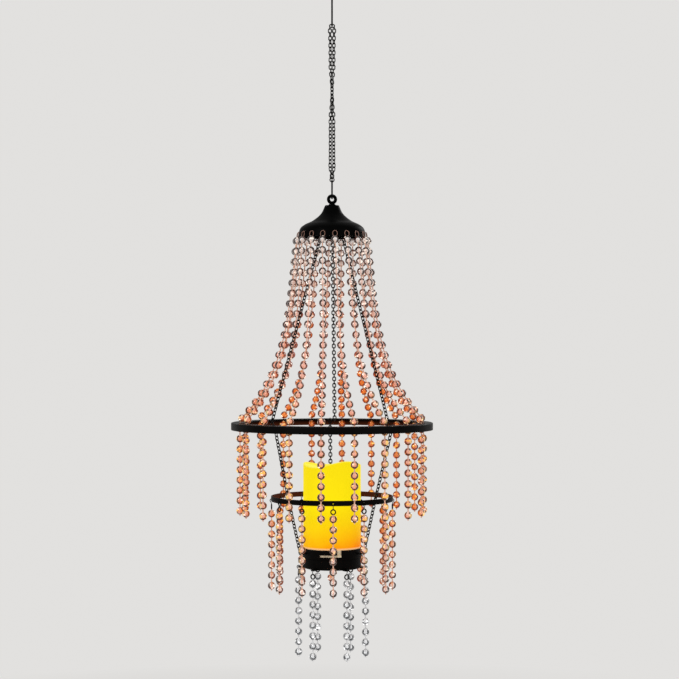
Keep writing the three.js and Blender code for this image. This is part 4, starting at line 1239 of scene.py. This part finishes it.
# %% Glowing wax
WAX_COLOURS = [(0.00, (1.0, 0.18, 0.001)), (0.08, (1.0, 0.34, 0.001)), (0.16, (1.0, 0.49, 0.001)),
               (0.34, (1.0, 0.67, 0.002)), (0.56, (1.0, 0.81, 0.002)), (1.00, (1.0, 0.80, 0.004))]
wax = Finish("glowing_wax", Roughness=0.6, IOR=1.45, Specular_IOR_Level=0.10,
             Emission_Strength=0.70)
clouds = wax.noise(38.0, 3.0)
rightward = wax.between(wax.axis("X"), -0.038, 0.038)
wax_level = wax.between(wax.axis("Z"), -0.7248, -0.610)
wax_level = wax_level + (clouds - 0.5) * 0.10 + (1.0 - rightward) * 0.14
at_foot = wax.between(wax.axis("Z"), -0.7222, -0.7240)
wax_glow = wax.mix(at_foot, wax.ramp(wax_level, WAX_COLOURS), (1.0, 0.58, 0.26))
wax_glow = wax.mix(wax.between(wax.upward(), 0.15, 0.8), wax_glow, (1.0, 0.93, 0.10))
wax_finish = wax.set(
    Base_Color=wax.mix(1.0, wax_glow, (0.45, 0.45, 0.45), "MULTIPLY"),
    Emission_Color=wax_glow,
    Normal=wax.bump(wax.noise(120.0, 4.0) + clouds * 1.5, 0.35, 0.0006),
)
print("wax nodes:", len(wax.tree.nodes))

# %% [markdown]
# The rim of the pillar rises and falls in a few soft waves, as if it had melted, and the top is
# dished inside it. The outline is turned round the axis, and each of its points takes a share of
# the wave, all of it at the rim and none from 9 mm below.

# %% The wax pillar
WAX_BOTTOM, WAX_TOP, WAX_RADIUS, WAX_INSIDE = -724.58, -615.18, 37.7, 32.7
WAVES = ((1, 1.84, 24.0), (2, 1.96, 50.0), (3, 1.82, 23.0))  # times round, size in mm, crest


def wax_pillar():
    """Height = outline height + the point's wave share times the sum of size * cosine(times *
    (azimuth - crest))."""
    lip = arc(WAX_RADIUS - 1.7, WAX_TOP - 1.7, 1.7, 0, 180, 10)
    side_z = np.linspace(WAX_BOTTOM + 1.0, WAX_TOP - 9, 16)
    hollow = [[0, WAX_TOP - 11.5], [WAX_INSIDE * 0.5, WAX_TOP - 11.5],
              [WAX_INSIDE, WAX_TOP - 11.5], [WAX_INSIDE, -690.0], [WAX_INSIDE, WAX_BOTTOM]]
    foot = [[WAX_RADIUS - 0.8, WAX_BOTTOM], [WAX_RADIUS - 0.2, WAX_BOTTOM + 0.3]]
    side = np.stack([np.full(16, WAX_RADIUS), side_z], -1)
    dish = [[WAX_INSIDE * part, WAX_TOP - depth]
            for part, depth in ((1, 4.0), (0.75, 5.0), (0.5, 5.5), (0.25, 5.7), (0, 5.75))]
    outline = np.concatenate([hollow, foot, side, lip, dish])
    share = np.clip((outline[:, 1] - (WAX_TOP - 9.0)) / 6.5, 0, 1)
    share = share * np.clip(outline[:, 0] / WAX_INSIDE, 0, 1) ** 2
    share[:len(hollow)] = 0
    azimuths = circle_of(144)
    wave = sum(size * np.cos(np.radians(times * (azimuths - crest)))
               for times, size, crest in WAVES)
    return turned(outline[:, 0], outline[:, 1:] + share[:, None] * wave[None, :], azimuths)


piece("wavy_wax_pillar", [wax_pillar()], [wax_finish], "shell", ["candle_shell"], sharp=60)
print("faces of the pillar:", made_faces["wavy_wax_pillar"])

# %% [markdown]
# Inside the candle sit a plastic base with its pegs, a small light board, two cells, a cover and a
# switch. The base shows through the slots of the cup. These solids already have their right shape,
# so only their finishes are made.

# %% Plastics of the candle
def moulded_plastic(name, light, dark, grain):
    plastic = Finish(name, IOR=1.46, Specular_IOR_Level=0.45)
    broad, fine = plastic.noise(45.0), plastic.noise(grain, 2.0)
    return plastic.set(
        Base_Color=plastic.mix(broad, dark, light),
        Roughness=plastic.uneven(broad, 0.40, 0.55),
        Normal=plastic.bump(fine, 0.25, 0.00006),
    )


ivory_finish = moulded_plastic("ivory_plastic", (0.86, 0.76, 0.55), (0.76, 0.65, 0.44), 1400.0)
switch_finish = moulded_plastic("dark_switch_plastic", (0.055, 0.055, 0.058),
                                (0.035, 0.035, 0.038), 900.0)
print("plastics:", ivory_finish.name, switch_finish.name)

# %% [markdown]
# The light board is green with paler tracks under its lacquer, and its light is a small warm dome
# that stands up from the middle. Height tells the dome from the board.

# %% The light board
board = Finish("green_light_board", Roughness=0.35, Emission_Strength=1.2, IOR=1.5)
dome = board.axis("Z") > -0.7228
rings_round_z = {"wave_type": "RINGS", "rings_direction": "Z"}
values = {"Vector": board.place, "Scale": 160.0, "Distortion": 2.5}
tracks = board.node("ShaderNodeTexWave", rings_round_z, values, "Fac")
lacquer = board.mix(board.between(tracks, 0.62, 0.7), (0.010, 0.085, 0.035), (0.025, 0.17, 0.065))
board_finish = board.set(
    Base_Color=board.mix(dome, lacquer, (0.95, 0.80, 0.45)),
    Emission_Color=board.mix(dome, BLACK, (1.0, 0.62, 0.18)),
    Normal=board.bump(tracks, 0.3, 0.0001),
)
print("board finish:", board_finish.name)

# %% [markdown]
# The two cells lie side by side, head to tail. They have a dark sleeve with a copper-coloured band
# at one end and a bare steel contact. The product of y and the sign of x runs towards the contact
# on both of them, so one finish serves both.

# %% The cells
cell = Finish("cell_sleeve", IOR=1.5, Coat_Weight=0.4, Coat_Roughness=0.1)
side_sign = cell.node("ShaderNodeMath", {"operation": "SIGN"}, {0: cell.axis("X")})
towards_contact = cell.axis("Y") * side_sign
copper_band, bare_end = towards_contact > 0.0135, towards_contact > 0.02395
sleeve = cell.mix(cell.noise(60.0), (0.020, 0.022, 0.028), (0.034, 0.036, 0.044))
banded = cell.mix(copper_band, sleeve, (0.60, 0.30, 0.12))
cell_finish = cell.set(
    Base_Color=cell.mix(bare_end, banded, (0.62, 0.62, 0.60)),
    Metallic=cell.between(copper_band + bare_end, 0.0, 1.0, 0.1, 0.9),
    Roughness=cell.uneven(cell.noise(300.0), 0.25, 0.40),
    Normal=cell.bump(cell.noise(700.0), 0.1, 0.00005),
)
print("cell finish:", cell_finish.name)

# %% [markdown]
# A solid that keeps its shape only gets a new material in its slot. Its mesh is not touched.

# %% Finishes on the kept solids
kept = {
    "candle_base": ivory_finish, "battery_cover": ivory_finish, "light_board": board_finish,
    "battery_left": cell_finish, "battery_right": cell_finish, "power_switch": switch_finish,
    "crown_nut": paint_finish,
}
for name, finish in kept.items():
    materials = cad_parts[name].data.materials
    materials.clear()
    materials.append(finish)
print("kept solids:", ", ".join(kept))

# %% [markdown]
# ## Floor, backdrop and light
# The lamp hangs free above a pale floor. One large disc is enough. Near the lamp it is a real floor
# that takes the soft shadow, and further out it fades into the plain pale colour of the sky, so
# that no line shows between them. Only the camera, mirrors and glass see that plain colour.

# %% The floor's finish
PALE, PALE_STRENGTH = (0.80, 0.79, 0.775, 1.0), 0.95

ground = Finish("pale_floor", Roughness=0.9, Specular_IOR_Level=0.1)
ground.set(Base_Color=ground.mix(ground.noise(3.0), (0.78, 0.77, 0.755), (0.82, 0.81, 0.795)))
away = ground.node("ShaderNodeVectorMath", {"operation": "LENGTH"}, {0: ground.place}, "Value")
plain_share = ground.between(away, 1.35, 2.1) * ground.seen_directly()
plain = ground.node("ShaderNodeEmission", {}, {"Color": PALE, "Strength": PALE_STRENGTH})
shader = Amount(ground, ground.shader.outputs[0])
faded = ground.node("ShaderNodeMixShader", {}, {0: plain_share, 1: shader, 2: plain})
ground.give(ground.tree.nodes["Material Output"].inputs["Surface"], faded)
print("floor nodes:", len(ground.tree.nodes))

# %% [markdown]
# The disc lies well below the lowest beads. It is only a stage for the lamp.

# %% The floor
FLOOR_HEIGHT, FLOOR_SIDES = -1.180, 48
floor_radii = np.array([0.0, 0.5, 1.5, 4, 10, 30])
floor_points = polar(floor_radii[:, None], circle_of(FLOOR_SIDES)[None, :], FLOOR_HEIGHT)
floor_faces = grid_faces(len(floor_radii), FLOOR_SIDES)[:, ::-1]
floor_mesh = bpy.data.meshes.new("floor")
floor_mesh.from_pydata(floor_points.reshape(-1, 3).tolist(), [], floor_faces.tolist())
floor_mesh.materials.append(ground.material)
floor = bpy.data.objects.new("floor", floor_mesh)
bpy.context.scene.collection.objects.link(floor)
print("floor faces:", len(floor_mesh.polygons))

# %% [markdown]
# The world is pale where it is seen directly, and a little dimmer as a light, so that the studio
# lamps shape the beads and the metal.

# %% The pale world
SKY_LIGHT = 0.55

world = bpy.data.worlds.new("studio")
bpy.context.scene.world = world
world.use_nodes = True
studio = Network(world.node_tree)
sky = studio.tree.nodes["Background"]
studio.give(sky.inputs["Color"], PALE)
studio.give(sky.inputs["Strength"], SKY_LIGHT)
backdrop = studio.node("ShaderNodeBackground", {}, {"Color": PALE, "Strength": PALE_STRENGTH})
choice = {0: studio.seen_directly(), 1: Amount(studio, sky.outputs[0]), 2: backdrop}
chosen = studio.node("ShaderNodeMixShader", {}, choice)
studio.give(studio.tree.nodes["World Output"].inputs["Surface"], chosen)
print("world nodes:", len(studio.tree.nodes))

# %% [markdown]
# Two large soft lamps light the lamp from the front left and from behind on the right, and a weak
# one fills from the front right. They are wide, so their shadows stay soft, and small facets still
# catch them as sparks.

# %% Soft studio lamps
LAMP_MIDDLE = np.array([0, 0, -0.5])


def soft_light(name, place, size, power):
    """A disc of light that looks at the middle of the lamp: yaw and pitch of the way there."""
    data = bpy.data.lights.new(name, "AREA")
    data.shape, data.size, data.energy = "DISK", size, power
    light = bpy.data.objects.new(name, data)
    light.location = place
    x, y, z = LAMP_MIDDLE - np.array(place)
    pitch, yaw = math.atan2(z, math.hypot(x, y)), math.atan2(y, x)
    light.rotation_euler = (math.pi / 2 + pitch, 0, yaw - math.pi / 2)
    bpy.context.scene.collection.objects.link(light)


soft_light("key", (-1.9, -2.2, 0.9), 1.3, 34.0)
soft_light("back", (1.7, 1.9, 0.6), 1.2, 20.0)
soft_light("fill", (1.6, -1.6, 0.2), 1.6, 10.0)

# %% [markdown]
# The view transform is Standard, so that a colour renders as it is written.

# %% The view transform and the end
bpy.context.scene.view_settings.view_transform = "Standard"
print("faces in all new pieces:", sum(made_faces.values()))
